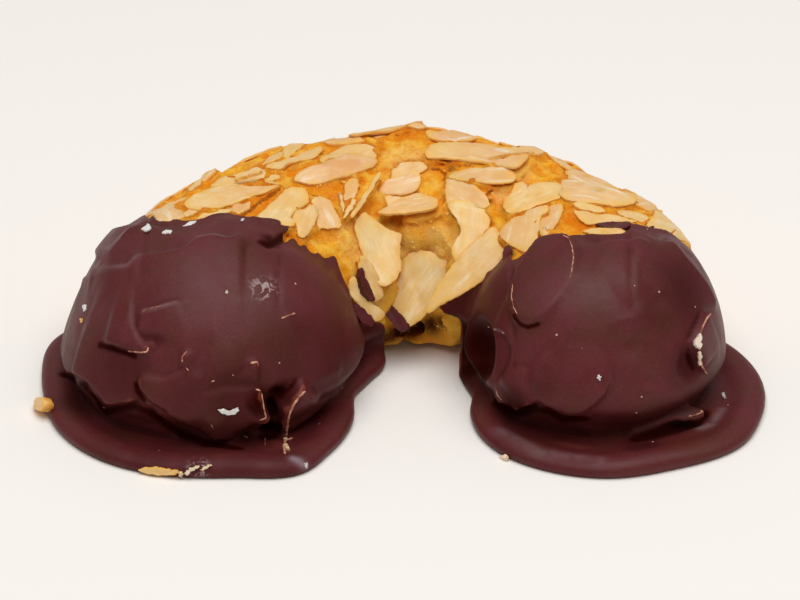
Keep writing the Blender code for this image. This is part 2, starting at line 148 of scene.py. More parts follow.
RIGHT_FOOT = FootShape(36.0, -14.5, [
    (-145, 28), (-119, 30), (-97, 25.8), (-84, 24.2), (-70, 26.0), (-54, 27.8), (-38, 28.8), (-6, 28.8),
    (20, 27.4), (48, 28.0), (70, 27.0), (102, 26.6), (133, 26.2), (165, 26)])
FOOT_THICK = 2.7
FOOT_EDGE, FOOT_WIDEST_Z, FOOT_UNDER = 2.6, 1.1, 1.9
FOOT_TURN = 2.0                     # degrees over which the slope of a foot's edge is taken
FOOT_WAVES = ((0.2, 17, 1), (0.15, 9, 0))           # height in mm, size in degrees and phase
VALLEY_DEPTH, VALLEY_FROM, VALLEY_OVER = 1.0, 3.0, 4

# Chocolate skin: its slow and quick waves, and its rim, which wanders, thins out and is round
SKIN_WAVES, SKIN_SLOW, SKIN_QUICK = (9.0, 3.4), 0.36, 0.13
RIM_WAVE, RIM_FINE, RIM_QUICK = 1.7, 0.6, 0.5
RIM_WIDTH, RIM_ROUND = 7, 0.6
RIM_SKIN, RIM_BLEND = 0.45, 0.8     # chocolate over the exposed flakes that reach into a coat
FOOT_BLEND = 1.6
CORE_BELOW = 0.3                    # covered flakes lie that far under the coat's surface
COAT_BASE_Z = 0.001

# A flake that isn't traced: its place, the way that it points, size, lift in mm, tilt and roll in degrees,
# tone and toast as below, and its straight breaks as bearing and share of its half length.
Flake = namedtuple("Flake", "x y z heading length width lift tilt roll tone toast cuts",
                   defaults=(0.0, 0.0, 0.0, (0.3, 0.3), 0.3, ()))

# A flake of the photo. Its outline is pixels of the 800 by 600 photo, laid on the surface that the camera
# sees there. tone at its left and right end: 0 cream, 1 pinkish tan. toast: how golden it is.
# stand: mm above the surface. lean: added to the way that the surface faces. facing: which way the flake
# looks, where it stands or hangs. bow and cup: how it curves along and across, in mm at 10 mm from its
# middle. thick: share of the usual thickness.
Traced = namedtuple("Traced", "outline tone toast stand lean facing bow cup thick",
                    defaults=((0.3, 0.3), 0.3, 0.0, (0, 0, 0), None, 0.0, 0.0, 1.0))
CURVE_UNIT = 0.01                   # what a bow or a cup of 1 is in the curve of a flake
FLAKE_THICK = 0.55
THICK_RANGE = (0.8, 1.2)            # shares of it that flakes have
FLAKE_RINGS = (1.0, 0.93, 0.72, 0.46, 0.2)          # its rim, and the rings of points inside it
RIM_THIN = 0.55                     # share of its thickness that a flake has at its rim
FLAKE_SHARP = 50                    # degrees at which an edge looks sharp
GRAIN_APART = 40                    # moves the grain of each flake to a place of its own
OUTLINE_POINTS = 64
RAGGED = 0.11                       # mm that the edge of a flake wanders in and out
BIT_RAGGED = 0.7                    # share of that for small bits, over four points of the outline at once
CORNER_CUT = 0.16                   # how much of each side goes when a corner is rounded
SHOWN_FLAKES = [
    # left arm, at the skyline
    Traced([(180, 189), (187, 180), (200, 173), (206, 173), (198, 181), (188, 191)], (0.5, 0.5), 0.8),
    Traced([(188, 191), (198, 180), (202, 182), (192, 192)], (0.1, 0.1), 0.1, 0.4),
    Traced([(196, 184), (206, 174), (217, 168), (214, 174), (203, 184)], (0.3, 0.3), 0.5, 0.3),
    Traced([(205, 178), (213, 168), (222, 163.5), (229, 162), (230, 170), (220, 178), (211, 184)],
        (0.4, 0.2), 0.7),
    Traced([(259, 167), (270, 158), (284, 151), (284, 156), (272, 163)], (0.5, 0.5), 1.0),
    Traced([(281, 157), (283, 150), (292, 143), (303, 140), (304, 146), (296, 152), (286, 158)], (0.1, 0.1),
        0.3),
    Traced([(229, 166), (230, 160.5), (238, 157.5), (250, 155), (257, 157.5), (258.5, 162.5), (254, 169.5),
        (242, 175), (231, 172.5)], (0.0, 0.1), 0.7, 0.2),
    # left arm
    Traced([(153, 225), (155, 213), (163, 206), (174, 205), (182, 211), (186, 217), (175, 221), (163, 225)],
        (0.6, 0.8), 0.2),
    Traced([(194, 220), (203, 213), (214, 210), (228, 208), (236, 211), (226, 214), (210, 219)], (0.0, 0.1),
        0.1),
    Traced([(177, 212), (182, 208), (200, 209), (199, 212), (191, 217), (181, 219)], (0.6, 0.4), 0.1, 0.2),
    Traced([(227, 209), (240, 201), (252, 197), (250, 209), (244, 213), (239, 215), (232, 212)], (0.7, 0.9),
        0.2),
    Traced([(208, 188), (221, 178), (240, 174), (262, 166), (284, 162), (285, 169), (279, 180), (262, 186),
        (235, 190)], (0.1, 0.3), 0.3),
    Traced([(262, 168), (283, 161), (300, 156), (315, 148.5), (322, 146.5), (322.5, 151), (317, 157.5),
        (305, 161), (290, 164), (280, 170)], (0.2, 0.3), 0.35, 0.3),
    Traced([(318, 160), (335, 151), (352, 143), (364, 139), (383, 140.5), (385, 149), (379, 161),
        (362, 164), (340, 164), (325, 166)], (0.2, 0.3), 0.2),
    Traced([(182, 204), (192, 196.5), (211, 187.5), (240, 183), (268, 180.3), (285.5, 184.5), (270, 190.5),
        (240, 202), (220, 208.5), (200, 210.5), (187, 208.7)], (0.1, 0.95), 0.25, 0.3),
    Traced([(292.5, 180.5), (296, 175), (303, 170), (325, 162.5), (340, 156), (352, 152.5), (366, 156),
        (379.5, 161), (373, 168), (360, 172.5), (345, 177.5), (325, 183), (313, 185), (301, 183)],
        (0.9, 1.0), 0.15, 0.4),
    Traced([(311, 203), (313, 197.5), (322, 197), (330, 200), (335, 210), (341, 222), (342, 228),
        (328, 229.5), (317, 228), (316, 212)], (0.6, 0.6), 0.1, 0.2),
    Traced([(250, 221), (266, 209), (284, 191), (292, 186.5), (306, 190), (309, 197), (308, 205),
        (297, 210), (291, 217), (292, 222), (296, 225), (292, 227), (262, 223)], (0.1, 0.25), 0.15, 0.4),
    Traced([(291, 217), (297, 210), (305, 209.5), (311, 204.5), (317, 206), (319, 213), (314, 227),
        (307, 236), (303, 239), (297, 235), (296, 225), (292, 221)], (0.35, 0.35), 0.15, 0.5),
    # middle of the bend
    Traced([(406, 127), (412, 124), (422, 125), (428, 129), (420, 130), (411, 128.5)], (0.6, 0.6), 0.6),
    Traced([(424, 131), (436, 133), (450, 130.5), (465, 133.5), (478, 140), (468, 142), (441, 142),
        (428, 138)], (0.9, 1.0), 0.5, 0.2),
    Traced([(390, 179), (393, 168), (401, 163), (412, 161.5), (426, 163), (428, 169), (418, 175),
        (402, 178)], (0.3, 0.5), 0.2),
    Traced([(376, 213), (388, 207), (400, 199), (418, 193), (428, 196.5), (437, 198.5), (439, 203.5),
        (436, 209), (420, 212.5), (400, 214.5), (385, 214.8)], (0.35, 0.45), 0.1, 1.6, (0, 0, 0.25)),
    Traced([(384, 196), (400, 197), (410, 199.5), (414.5, 202), (408, 206), (398, 209.5), (390, 210),
        (386, 205)], (0.05, 0.1), 0.1, 0.5),
    Traced([(377.5, 194), (382, 185), (388, 179), (409, 174.5), (412, 170.5), (417, 170.5), (421, 178),
        (420.5, 186), (415, 193), (400, 196), (385, 195)], (0.6, 0.65), 0.05, 0.5),
    # right arm
    Traced([(489, 141.5), (500, 140), (518, 141.5), (530, 145.5), (536, 150), (528, 154), (512, 151),
        (497, 147)], (0.3, 0.3), 1.0, 0.2),
    Traced([(563, 166), (575, 166), (590, 173), (606, 182), (622, 191), (610, 191), (590, 187), (568, 180)],
        (0.6, 0.6), 1.0),
    Traced([(620, 191), (638, 197), (650, 202), (656, 207), (657, 212), (648, 212), (636, 206), (626, 200)],
        (0.4, 0.6), 0.6),
    Traced([(650, 212), (660, 210), (673, 217.5), (690, 233.5), (701, 248), (694, 247), (684, 241),
        (674, 235), (663, 234), (655, 226), (651, 217)], (0.1, 0.1), 0.3, 0.2),
    Traced([(553, 181), (562, 179.5), (575, 181), (592, 184), (612, 189), (628, 194), (639, 199),
        (633, 204), (620, 206.5), (605, 205.5), (588, 203.5), (573, 201.5), (562, 199), (556, 190)],
        (0.9, 0.45), 0.2, 0.3),
    Traced([(572, 204), (580, 202.8), (592, 205.5), (604, 209), (607, 212), (600, 213.8), (588, 212),
        (577, 209)], (0.1, 0.1), 0.1, 0.2),
    Traced([(616, 211), (628, 210), (637, 213), (648, 217), (654, 220.5), (652, 223), (640, 222.5),
        (628, 219), (618, 215)], (0.3, 0.1), 0.2),
    Traced([(572.5, 210.5), (583, 211.5), (597, 214.5), (615, 215.5), (630, 219.5), (639, 222),
        (625, 223.8), (608, 223.5), (595, 225), (587, 225.5), (579, 219.5)], (0.3, 0.2), 0.25, 0.3),
    Traced([(581, 231), (592, 228.5), (610, 229), (626, 230.5), (623, 236), (613, 239.5), (602, 240),
        (591, 236)], (0.2, 0.2), 0.9, 0.9),
    Traced([(503, 206), (505, 211.5), (511, 214.5), (521, 213), (540, 205), (561, 199), (564.5, 194),
        (563, 187), (558, 183), (549, 181.5), (529, 185), (527.5, 190), (526, 185), (521, 181.5),
        (515, 184), (511, 194), (504, 200)], (0.1, 0.2), 0.5, 0.4),
    Traced([(539, 223), (541, 217.5), (549.5, 211.5), (549, 206), (556, 204.5), (563, 205), (563, 212),
        (559, 222), (553, 230), (546, 237), (540, 236)], (0.7, 0.6), 0.2, 0.2),
    Traced([(498.5, 233.5), (504, 226), (515, 217), (530, 210), (541, 206), (548, 205.5), (549, 211),
        (541, 217), (539.5, 223), (542, 231), (539, 240), (532, 248), (527, 253), (517, 250), (507, 243),
        (500, 236)], (0.6, 0.5), 0.15, 0.5),
    Traced([(424, 153), (430, 146), (441, 142.5), (460, 142.5), (480, 144), (500, 147.5), (518, 150.5),
        (527, 153.5), (528.5, 158), (519, 168), (510, 168), (495, 166), (465, 160.5), (440, 158.5),
        (428, 158.5)], (0.1, 1.0), 0.2, 0.7),
    Traced([(446, 179), (456, 175), (466, 179), (476, 187), (485, 193), (491, 205.5), (483, 210),
        (470, 207), (455, 207), (447, 206), (445.3, 190)], (0.4, 0.9), 0.2, 0.4),
    Traced([(447, 178), (452, 174), (465, 170), (482, 167.5), (502, 167), (511, 169), (517, 177),
        (515, 181.5), (505, 184.5), (490, 184), (470, 181.5), (458, 180.5)], (0.6, 0.7), 0.25, 0.6),
    # in the fold, standing or hanging
    Traced([(345, 183), (352, 178.5), (358, 180), (360, 186), (355, 197), (349, 207), (345, 208),
        (343, 196)], (0.6, 0.6), 0.6, 0.3),
    Traced([(338.5, 191), (341, 195), (344, 209), (343.5, 214), (340.5, 207)], (0.0, 0.0), 0.3, 0.8),
    Traced([(353, 198), (357.5, 201), (349, 214), (344, 220), (342.5, 216)], (0.0, 0.0), 0.2, 1.0),
    Traced([(377, 172.5), (381.5, 173), (378.5, 177.5), (361, 207), (352, 219.5), (349, 216), (358, 204),
        (372, 180)], (0.0, 0.0), 0.0, 1.6),
    Traced([(363, 211.5), (373, 218.5), (386, 228.5), (402, 234), (400, 243), (400, 255), (402, 268),
        (396, 280), (384, 288), (378, 284), (371, 268), (361, 252), (357, 238), (354, 229), (357.5, 218)],
        (0.0, 0.0), 0.15, 0.9, facing=(0.30, -0.62, 0.72), bow=1.2, cup=2.4),
    Traced([(446, 202), (461, 199.5), (474, 202.5), (485, 208.5), (490.5, 219), (489, 231), (480, 243),
        (466, 256), (456, 263), (451.5, 256), (452, 246), (458.5, 238), (461, 230), (456, 219), (449, 210)],
        (0.0, 0.0), 0.45, 1.2, facing=(-0.10, -0.55, 0.83), bow=-0.6, cup=-1.0),
    Traced([(360, 256), (364, 256), (370, 262), (376, 272), (381, 284), (384, 296), (379, 300), (372, 302),
        (368, 291), (361, 280), (358, 266)], (0.2, 0.0), 0.2, 1.6, facing=(0.55, -0.70, 0.45), cup=2.0),
    Traced([(352, 276), (357, 278), (360, 289), (367, 299.5), (376, 306.5), (386, 314), (380, 321),
        (373, 321), (360, 307.5), (351, 298.5), (348, 288), (348.5, 281)], (0.35, 0.1), 0.1, 2.2,
        facing=(0.40, -0.78, 0.48), cup=1.5),
    Traced([(402, 260), (409, 253.5), (418, 250.5), (429, 251), (440, 255), (452, 265), (444, 281),
        (436, 295), (430, 306), (427, 315), (417, 322.5), (408, 328), (400, 330.5), (394, 323), (386, 312),
        (378, 306), (385, 296.5), (395, 285), (400.5, 275)], (0.0, 0.0), 0.25, 2.6,
        facing=(-0.22, -0.80, 0.56), bow=0.4, cup=0.8),
    Traced([(489, 229.5), (494, 226.5), (498, 230), (505, 244), (502, 260), (497, 268), (483, 281),
        (465, 293), (445, 303), (428, 315), (426, 308), (430, 299), (437, 287), (447, 272), (455, 261),
        (466, 248), (480, 236)], (0.1, 0.3), 0.5, 3.0, facing=(-0.34, -0.64, 0.70), bow=-0.4, cup=-0.8),
]
# The flakes of the list, from its end, that chocolate drips lie on
BAND_FLAKE, LOW_FLAKE, CUP_FLAKE = -2, -3, -4

# Filler flakes, where the photo shows none
BARE_AFTER = 6.5                    # filler flakes keep this far from each other and from the shown ones
FILLER_SEED = 5
FILLER_TRIES = 5200
FILLER_COUNT = 150
FILLER_LOWEST = 3.5
FILLER_BEHIND = 0.36                # share of its length that a flake keeps behind the dip line
FILLER_LENGTH, FILLER_NARROW = (8, 17), (0.42, 0.6)
FILLER_LIFT, FILLER_TILT, FILLER_ROLL = (-0.1, 0.4), 3, 4
FILLER_TOAST, BREAK_SHARE = (0.2, 0.9), (0.55, 0.9)
KEPT_FREE_X, KEPT_FREE_Y, KEPT_FREE_Z = 14, 12, 14  # the open fold, which stays free of them
CAMERA_SIDE = np.array((0, -0.88, 0.47))            # the way from the horn to the camera
FILLER_HIDDEN = 0.32                # they face the camera's side no more than that
ALMOND_POINTS, ALMOND_FULLNESS, ALMOND_UNEVEN = 36, 1.16, 0.035
ALMOND_WAVES = (2, 3, 5, 7)         # how often the waves of the outline go round it
BREAK_RAGGED = 0.05

# How a flake comes to lie: it follows the ground in part, and sinks in a little
SETTLE_ALONG, SETTLE_ACROSS = 0.38, 0.36            # shares of its size where it feels the ground
SETTLE_TURN, SETTLE_BEND = 0.6, 0.75 * 0.35
CURVE_ALONG, CURVE_ACROSS = (-0.03, 0.012), (-0.05, 0.03)
REST_SHARE, REST_SINK = 88, 0.22    # percent of it that is outside the ground, and mm that it sinks in
REST_RINGS = np.array([0.25, 0.5, 0.75, 0.95])
FLAKE_FACING, COAT_FACING = 2.5, 2.0                # mm over which the ground's facing is taken
LEAST_FACING = 0.30                 # a flake at the skyline still faces the camera this much
FARTHEST_ASIDE = 12.0               # and is nowhere nearer or farther than its middle by more
GRAZING = 0.1                       # rays meet its plane at least this steeply
HIGHEST_CURVE = 2.5                 # mm that its curve counts at most, where its outline is fitted
SMALL_BIT = 6.0                     # shorter ones lie as the surface does
BIT_LIFT = 0.25                     # and stand out by that share of their thickness

# Dough that holds the flakes: how far it comes out from under them, how rough it is, how deep and high
HOLD_REACH, HOLD_BESIDE, HOLD_BELOW = 1.1, 0.35, 0.12
HOLD_RAGGED, HOLD_ROUGH, HOLD_SETBACK = 0.5, 0.55, 0.10
HOLD_DEPTH, HOLD_RISE, HOLD_BLEND = 2.0, 1.0, 0.9

# Crust of the dough: waves of three sizes, fine splits, and rougher in the open fold
CRUST_WAVES = (5.5, 2.3, 1.15)
CRUST_COARSE, CRUST_MIDDLE, CRUST_FINE = 0.30, 0.40, 0.56
CRUST_FLOOR = -0.5                  # the fine waves go no deeper
CRUST_HELD = 0.6                    # share of the two finer waves on the dough that holds the flakes
SPLIT_WAVE, SPLIT_WIDTH, SPLIT_DEPTH = 4.2, 0.10, 0.75
FOLD_X, FOLD_Y, FOLD_REACH = 3.0, 6.0, 11.0
FOLD_ROUGH = 0.8                    # the crust is that much rougher in the open fold
COVERED_DROP = 0.8                  # the dough lies that much lower where chocolate covers it
COVERED_FROM, COVERED_OVER = 1.5, 3                 # mm in front of the dip line where that comes in
BASE_BLEND = 1.2

# Crags and pits of the crust: place and radius
CRAGS = [(2.2, 30.0, 27.6, 3.4), (6.0, 29.0, 26.8, 2.6), (5.2, 6.8, 21.6, 3.4), (2.0, 6.0, 20.6, 2.8),
         (2.6, 2.2, 0.8, 2.2), (6.2, 3.4, 0.9, 2.0), (-1.2, 1.2, 0.8, 1.8)]
PITS = [(1.5, 2.4, 4.6, 2.2), (-1.0, 2.0, 4.4, 1.8), (4.5, 3.2, 4.4, 1.6)]
CRAG_ROUGH, CRAG_BLEND, PIT_BLEND = 0.5, 1.6, 1.0

# How baked the dough is: more high up and at its base, and less in the fold
BAKE, BAKE_HIGH, BAKE_FOLD, BAKE_BASE = 0.45, 0.5, 0.75, 0.5
BAKED_FROM_Z, BAKED_OVER = 8, 16
PALE_X, PALE_Y, PALE_REACH = 2, 6, 16.0
BASE_Z = 1.0
EDGE_RELIEF, HOLLOW_RELIEF = 0.25, 0.3              # mm of relief that count as a full edge or hollow
BROWNED_AND_SHADED = 0.50                      # mm beside a flake over which the dough is browner, partly as painted contact shade

# Loose crumbs, each an uneven ball of twelve corners
CRUMB_COUNT = 600
CRUMB_SIZES = (0.12, 0.45)
CRUMB_SINK = 0.35                   # share of its size that a crumb sits in the dough
CRUMB_LOWEST, CRUMB_CHANCE = 5, 0.05
CRUMB_BEHIND, CRUMB_UNDER = 1.5, 0.1                # mm behind the dip line, and at most under the pile
CRUMB_SMALLER = 2.2                 # power that makes most of them small
CRUMB_UNEVEN, CRUMB_STRETCH = (0.4, 1.4), (0.5, 1.5)
CRUMB_FACING, CRUMB_SHARP = 1.0, 25
CRUMB_SEED = 11
STREWN_X, STREWN_Y, STREWN_REACH = 3, 8, 14.0
CRUMB_CORNERS = [
    (0, 0, 1), (0.89, 0, 0.45), (0.28, 0.85, 0.45), (-0.72, 0.53, 0.45), (-0.72, -0.53, 0.45),
    (0.28, -0.85, 0.45), (0.72, 0.53, -0.45), (-0.28, 0.85, -0.45), (-0.89, 0, -0.45),
    (-0.28, -0.85, -0.45), (0.72, -0.53, -0.45), (0, 0, -1)]
CRUMB_SIDES = [
    (0, 1, 2), (0, 2, 3), (0, 3, 4), (0, 4, 5), (0, 5, 1), (1, 6, 2), (2, 7, 3), (3, 8, 4), (4, 9, 5),
    (5, 10, 1), (6, 7, 2), (7, 8, 3), (8, 9, 4), (9, 10, 5), (10, 6, 1), (11, 7, 6), (11, 8, 7),
    (11, 9, 8), (11, 10, 9), (11, 6, 10)]

# Drips of chocolate on the exposed part
BAND_DRIP = Traced(
    [(376, 305.5), (385, 295), (391, 304), (399, 312), (406, 319), (411, 328), (401, 332.5), (396, 328),
     (390, 319.5), (384, 312)])
CUP_DRIP = Traced(
    [(359.5, 266), (362.5, 273), (366, 284), (371.5, 293.5), (374, 301), (369, 301.5), (362.5, 296),
     (359, 287), (356.5, 276)])
LOW_DRIP = Traced(
    [(353, 302), (360, 307), (368, 313), (375, 321), (371, 328), (362, 325), (354, 315), (350, 306)])
LOOSE_DRIPS = [
    Traced([(248, 219), (255, 221.5), (266, 223.5), (278, 226), (291, 227), (284, 232.5), (277, 236),
        (270, 243), (262, 244), (252, 238), (245, 228)], stand=0.4),
    Traced([(594, 224.5), (606, 223.3), (630, 222.5), (633, 225.5), (624, 229.5), (612, 229.3), (602, 228)],
        stand=0.3),
    Traced([(644.5, 226), (648, 223), (653, 224), (655.5, 227), (651, 229.5), (646.5, 228.5)], stand=0.5),
    Traced([(503, 262), (505, 247), (509, 246), (512, 250), (509, 256), (508, 266)], stand=1.0),
]
DRIP_THICK = 1.5
DRIPS_ON_FLAKES = [(BAND_DRIP, BAND_FLAKE, 90), (CUP_DRIP, CUP_FLAKE, 91), (LOW_DRIP, LOW_FLAKE, 89)]
# First numbers of the other drips, the filler flakes, the covered flakes and the bits. They seed edges.
FIRST_DRIP, FIRST_FILLER, FIRST_PLATE, FIRST_BIT = 92, 100, 200, 300

# Bits of almond and dough that stick to the chocolate. tone -1 is white.
LEFT_BITS = [
    Traced([(217, 409.5), (222, 408), (228, 411), (234, 409.5), (238, 407.5), (239.5, 411), (234, 415),
        (228, 416), (222, 413)], (-1, -1), 0, 0.1, thick=0.6),
    Traced([(137, 470), (148, 466.5), (165, 467.5), (179, 471), (176, 474.5), (160, 475.5), (145, 473)],
        (0.1, 0.3), 0.4),
    Traced([(184, 474), (187, 470), (193, 467), (197, 465), (200, 466.5), (196, 469), (190, 472),
        (187, 476)], (-0.6, -0.4), 0, thick=0.5),
    Traced([(200, 469), (206, 466), (212, 464), (213, 465.5), (207, 469), (202, 471.5)], (-0.4, -0.4), 0,
        thick=0.5),
    Traced([(178, 471), (183, 473), (182, 477), (179, 475)], (-0.4, -0.4), 0),
    Traced([(283, 440), (285, 437.5), (287.5, 438.5), (286, 442.5)], (-0.3, -0.3), 0.2),
    Traced([(284, 446), (287, 445), (289.5, 449), (286, 449.5)], (-0.3, -0.3), 0.2),
    Traced([(36, 402), (39, 399), (43, 397.5), (48, 399), (48, 407), (45, 411), (40, 411), (36, 407)],
        (0.2, 0.2), 0.8, 0.4, thick=3.0),
    # The next three white strips along the coat's rim stand for its sheen: painted highlights made as white
    # bits.
    Traced([(141, 229), (144, 225), (149, 224), (151, 229), (147, 231.5), (143, 231)], (-1, -1), 0, -0.1,
        thick=0.7),
    Traced([(161, 232), (168, 230.5), (172, 231), (171, 233.5), (164, 234.5)], (-1, -1), 0, -0.1,
        thick=0.5),
    Traced([(175, 226), (182, 223.5), (190, 222.5), (197, 221), (190, 225.5), (180, 227.5)], (-1, -1), 0,
        -0.2, thick=0.5),
    Traced([(82.5, 305), (86, 304.5), (86.5, 309.5), (83.5, 311)], (-1, -1), 0, thick=0.6),
    Traced([(80, 319), (82.5, 318.5), (82.5, 323), (80.5, 323)], (0.8, 0.8), 1.0, thick=0.6),
    Traced([(225, 291), (227.5, 290.5), (228, 293), (226, 293.5)], (-0.6, -0.6), 0, thick=0.6),
    Traced([(241, 221), (242.5, 217.5), (244, 218), (242.5, 221.5)], (-1, -1), 0, 0.1, thick=0.6),
    Traced([(305, 463.5), (307, 463), (307.5, 468), (306, 468)], (-1, -1), 0, thick=0.6),
]
RIGHT_BITS = [
    Traced([(696, 338), (700, 333), (701.5, 338), (700, 342), (702, 346), (700, 350), (697, 347),
        (694, 343.5)], (-0.7, -0.7), 0, 0.3, thick=1.3),
    Traced([(698, 352), (700.5, 351), (701, 358), (700, 366), (698.5, 361)], (-0.5, -0.5), 0, 0.2,
        thick=1.2),
    Traced([(598, 376), (600.5, 375.5), (601, 380), (599, 380.5)], (-1, -1), 0, thick=0.6),
    Traced([(722, 394), (724, 393), (725.5, 398), (723.5, 398.5)], (-1, -1), 0, thick=0.6),
    Traced([(500, 457), (503, 455.5), (507, 457), (506.5, 461), (502, 461)], (-0.5, -0.5), 0, 0.1,
        thick=1.5),
]

# Flakes under the chocolate, which show through as raised plates
LEFT_PLATES = [
    Traced([(96, 256), (98, 241), (108, 231), (125, 228.5), (134, 225), (128, 236), (112, 250)], stand=0.2),
    Traced([(204, 396), (220, 391), (240, 391), (254, 389.5), (261, 391), (263.5, 405), (266.5, 420),
        (250, 420), (235, 425), (226, 433), (213, 430), (209, 420), (204, 408)], stand=0.5,
        lean=(-0.02, 0, 0.12)),
]
RIGHT_PLATES = [
    Traced([(538, 239), (548, 236), (562, 234.5), (568, 236), (573, 247), (575, 258), (574, 270),
        (570, 282), (560, 298), (548, 312), (536, 321), (528, 323), (519, 319), (513, 309), (511.5, 295),
        (514, 280), (520, 266), (528, 252)], stand=0.55, lean=(0.03, 0, 0.02)),
    Traced([(498, 384), (515, 374), (531, 371), (534, 382), (538, 392), (534, 400), (524, 404), (513, 408),
        (504, 406), (498, 399), (495.5, 391)], stand=0.4, lean=(-0.03, 0, 0.12)),
    Traced([(534, 372), (545, 358), (560, 350), (580, 346), (600, 350), (607.5, 362), (608.5, 378),
        (605, 391), (596, 402), (582, 411), (570, 413), (559, 408), (547, 403), (541, 397), (538, 388)],
        stand=0.1, lean=(0.0, 0, 0.12)),
    Traced([(640, 437), (658, 429), (680, 422), (700, 418.5), (704, 413.5), (699, 410), (680, 405),
        (660, 402), (642, 412), (632, 430)], stand=1.2, facing=(0.16, -0.62, 0.77)),
]
PLATE_SHARE = 60                    # share of a covered flake, in percent, that stands out of the coat
PLATE_SKIN = 0.36                   # chocolate over a flake that shows through it
PLATE_BLEND = 0.6                   # and how softly it runs into the coat

# Steps and ridges of the coats, as pixels of the photo: the coat rises by so many mm at the line. It fades
# out over one distance on the side of the toward pixel, and over a short one behind the line.
Step = namedtuple("Step", "line toward rise fade back", defaults=(0.12,))
LEFT_STEPS = [
    Step([(80, 279), (92, 273), (110, 268), (127, 265), (138, 254), (160, 253), (176, 250), (186, 247),
        (200, 236), (212, 234), (224, 237), (232, 236), (240, 233), (252, 238)], (150, 290), 1.22, 7, 1.2),
    Step([(94, 259), (110, 247), (120, 235), (130, 226), (140, 222), (150, 214)], (128, 250), 1.49, 4, 0.8),
    Step([(80, 281), (90, 278), (100, 275)], (95, 300), 0.54, 5, 1.0),
    Step([(137, 336), (140, 322), (143, 311), (153, 308), (163, 305), (176, 302), (190, 300)], (170, 325),
        0.74, 6, 0.3),
    Step([(98, 343), (112, 345), (124, 349), (135, 351), (146, 352), (149, 346), (150, 338)], (128, 330),
        1.35, 5),
    Step([(192, 348), (186, 352), (181, 358), (183, 365), (189, 371)], (205, 357), 0.94, 5),
    Step([(189, 371), (196, 385), (206, 386), (213, 382), (222, 377), (235, 370), (248, 363)], (222, 355),
        0.68, 6, 0.6),
    Step([(246, 360), (257, 362), (259, 372), (258, 383), (256, 390)], (238, 378), 1.22, 5),
    Step([(254, 388), (261, 391), (263, 404), (266, 420), (256, 421), (247, 421)], (238, 405), 1.62, 6),
    Step([(206, 410), (211, 424), (214, 430), (228, 425)], (222, 412), 0.68, 4),
    Step([(64, 372), (75, 377), (85, 383), (92, 391), (98, 399), (105, 408), (115, 406), (127, 404),
        (138, 402)], (105, 375), 1.76, 6),
    Step([(137, 370), (136, 384), (139, 392), (148, 402), (165, 414), (185, 426), (205, 434), (225, 439),
        (247, 442)], (178, 395), 1.62, 6),
    Step([(240, 432), (246, 436), (252, 434)], (247, 425), 0.94, 3),
    Step([(282, 319), (288, 316), (295, 313)], (290, 325), 0.54, 3, 0.3),
    Step([(312, 379), (304, 391), (294, 404), (288, 418), (285, 432), (284, 446)], (325, 405), 3.24, 7),
    Step([(300, 392), (312, 382), (328, 376), (345, 366)], (315, 362), 0.68, 5, 1.0),
]
RIGHT_STEPS = [
    Step([(668, 234), (680, 247), (689, 258), (700, 271), (709, 283), (716, 298), (720, 312)], (655, 275),
        1.15, 4, 1.0),
    Step([(712, 305), (707, 318), (701, 330), (697, 343), (699, 355), (701, 366), (709, 379)], (716, 350),
        1.95, 6),
    Step([(596, 238), (612, 239), (626, 238), (638, 238), (648, 240), (655, 244)], (625, 262), 0.69, 5,
        0.8),
    Step([(640, 306), (650, 300), (662, 290), (676, 285)], (640, 285), 0.57, 6, 1.5),
    Step([(612, 338), (628, 336), (640, 331), (650, 322)], (620, 320), 0.57, 7, 1.5),
    Step([(636, 300), (646, 312), (648, 326)], (620, 310), 0.46, 8, 2.0),
    Step([(536, 370), (534, 380), (540, 392)], (555, 380), 0.57, 6, 0.5),
    Step([(655, 380), (648, 395), (640, 412), (634, 430)], (665, 405), 0.8, 6, 1.5),
    Step([(488, 325), (496, 329), (504, 333), (509, 346), (508, 360), (503, 374), (497, 386)], (525, 350),
        1.15, 6),
    Step([(515, 408), (522, 405), (534, 400), (540, 397)], (520, 390), 0.69, 4),
    Step([(608, 420), (600, 432), (590, 440)], (575, 425), 0.46, 5, 1.5),
]
STEP_END = 2.0                      # a step comes up over this distance at both ends of its line
STEP_REACH, STEP_DEEP = 2.5, 5.0    # how many times its fade it goes on, and mm up and down

# Broad painted shade of the coats, and bright bloom: pixel of the photo, radius in mm and strength
Spot = namedtuple("Spot", "px py radius strength")
SHADED = [
    Spot(238, 398, 7, 0.5), Spot(190, 405, 6, 0.3), Spot(270, 241, 1.8, 0.9), Spot(120, 375, 6, 0.45),
    Spot(300, 350, 7, 0.3), Spot(245, 410, 6, 0.35), Spot(108, 378, 7, 0.35), Spot(332, 385, 8, 0.35),
    Spot(80, 405, 4, 0.6), Spot(262, 402, 3.5, 1.0), Spot(268, 425, 4, 1.0), Spot(285, 395, 3, 0.8),
    Spot(190, 430, 5, 0.3), Spot(245, 440, 4, 0.5), Spot(462, 350, 5, 1.0), Spot(459, 330, 4, 0.9),
    Spot(464, 372, 4.5, 0.95), Spot(482, 345, 6, 1.0), Spot(480, 372, 5, 1.0), Spot(470, 384, 3, 0.6),
    Spot(560, 425, 5, 0.4), Spot(600, 432, 7, 0.35), Spot(685, 288, 6.5, 0.55), Spot(660, 312, 5, 0.3),
    Spot(515, 408, 4, 0.9), Spot(540, 385, 3, 0.3), Spot(682, 365, 4, 0.5), Spot(640, 445, 4, 0.7),
    Spot(500, 300, 5, 0.3), Spot(110, 452, 5, 0.25), Spot(150, 461, 5, 0.35), Spot(195, 467, 5, 0.35),
    Spot(240, 468, 5, 0.35), Spot(285, 466, 5, 0.3), Spot(215, 400, 8, 0.3), Spot(330, 375, 6, 0.3),
    Spot(505, 455, 5, 0.2), Spot(560, 467, 6, 0.2),
]
BLOOM = [
    Spot(264, 288, 2.2, 1.0), Spot(84, 308, 1.1, 1.0), Spot(198, 468, 1.6, 1.0),
]

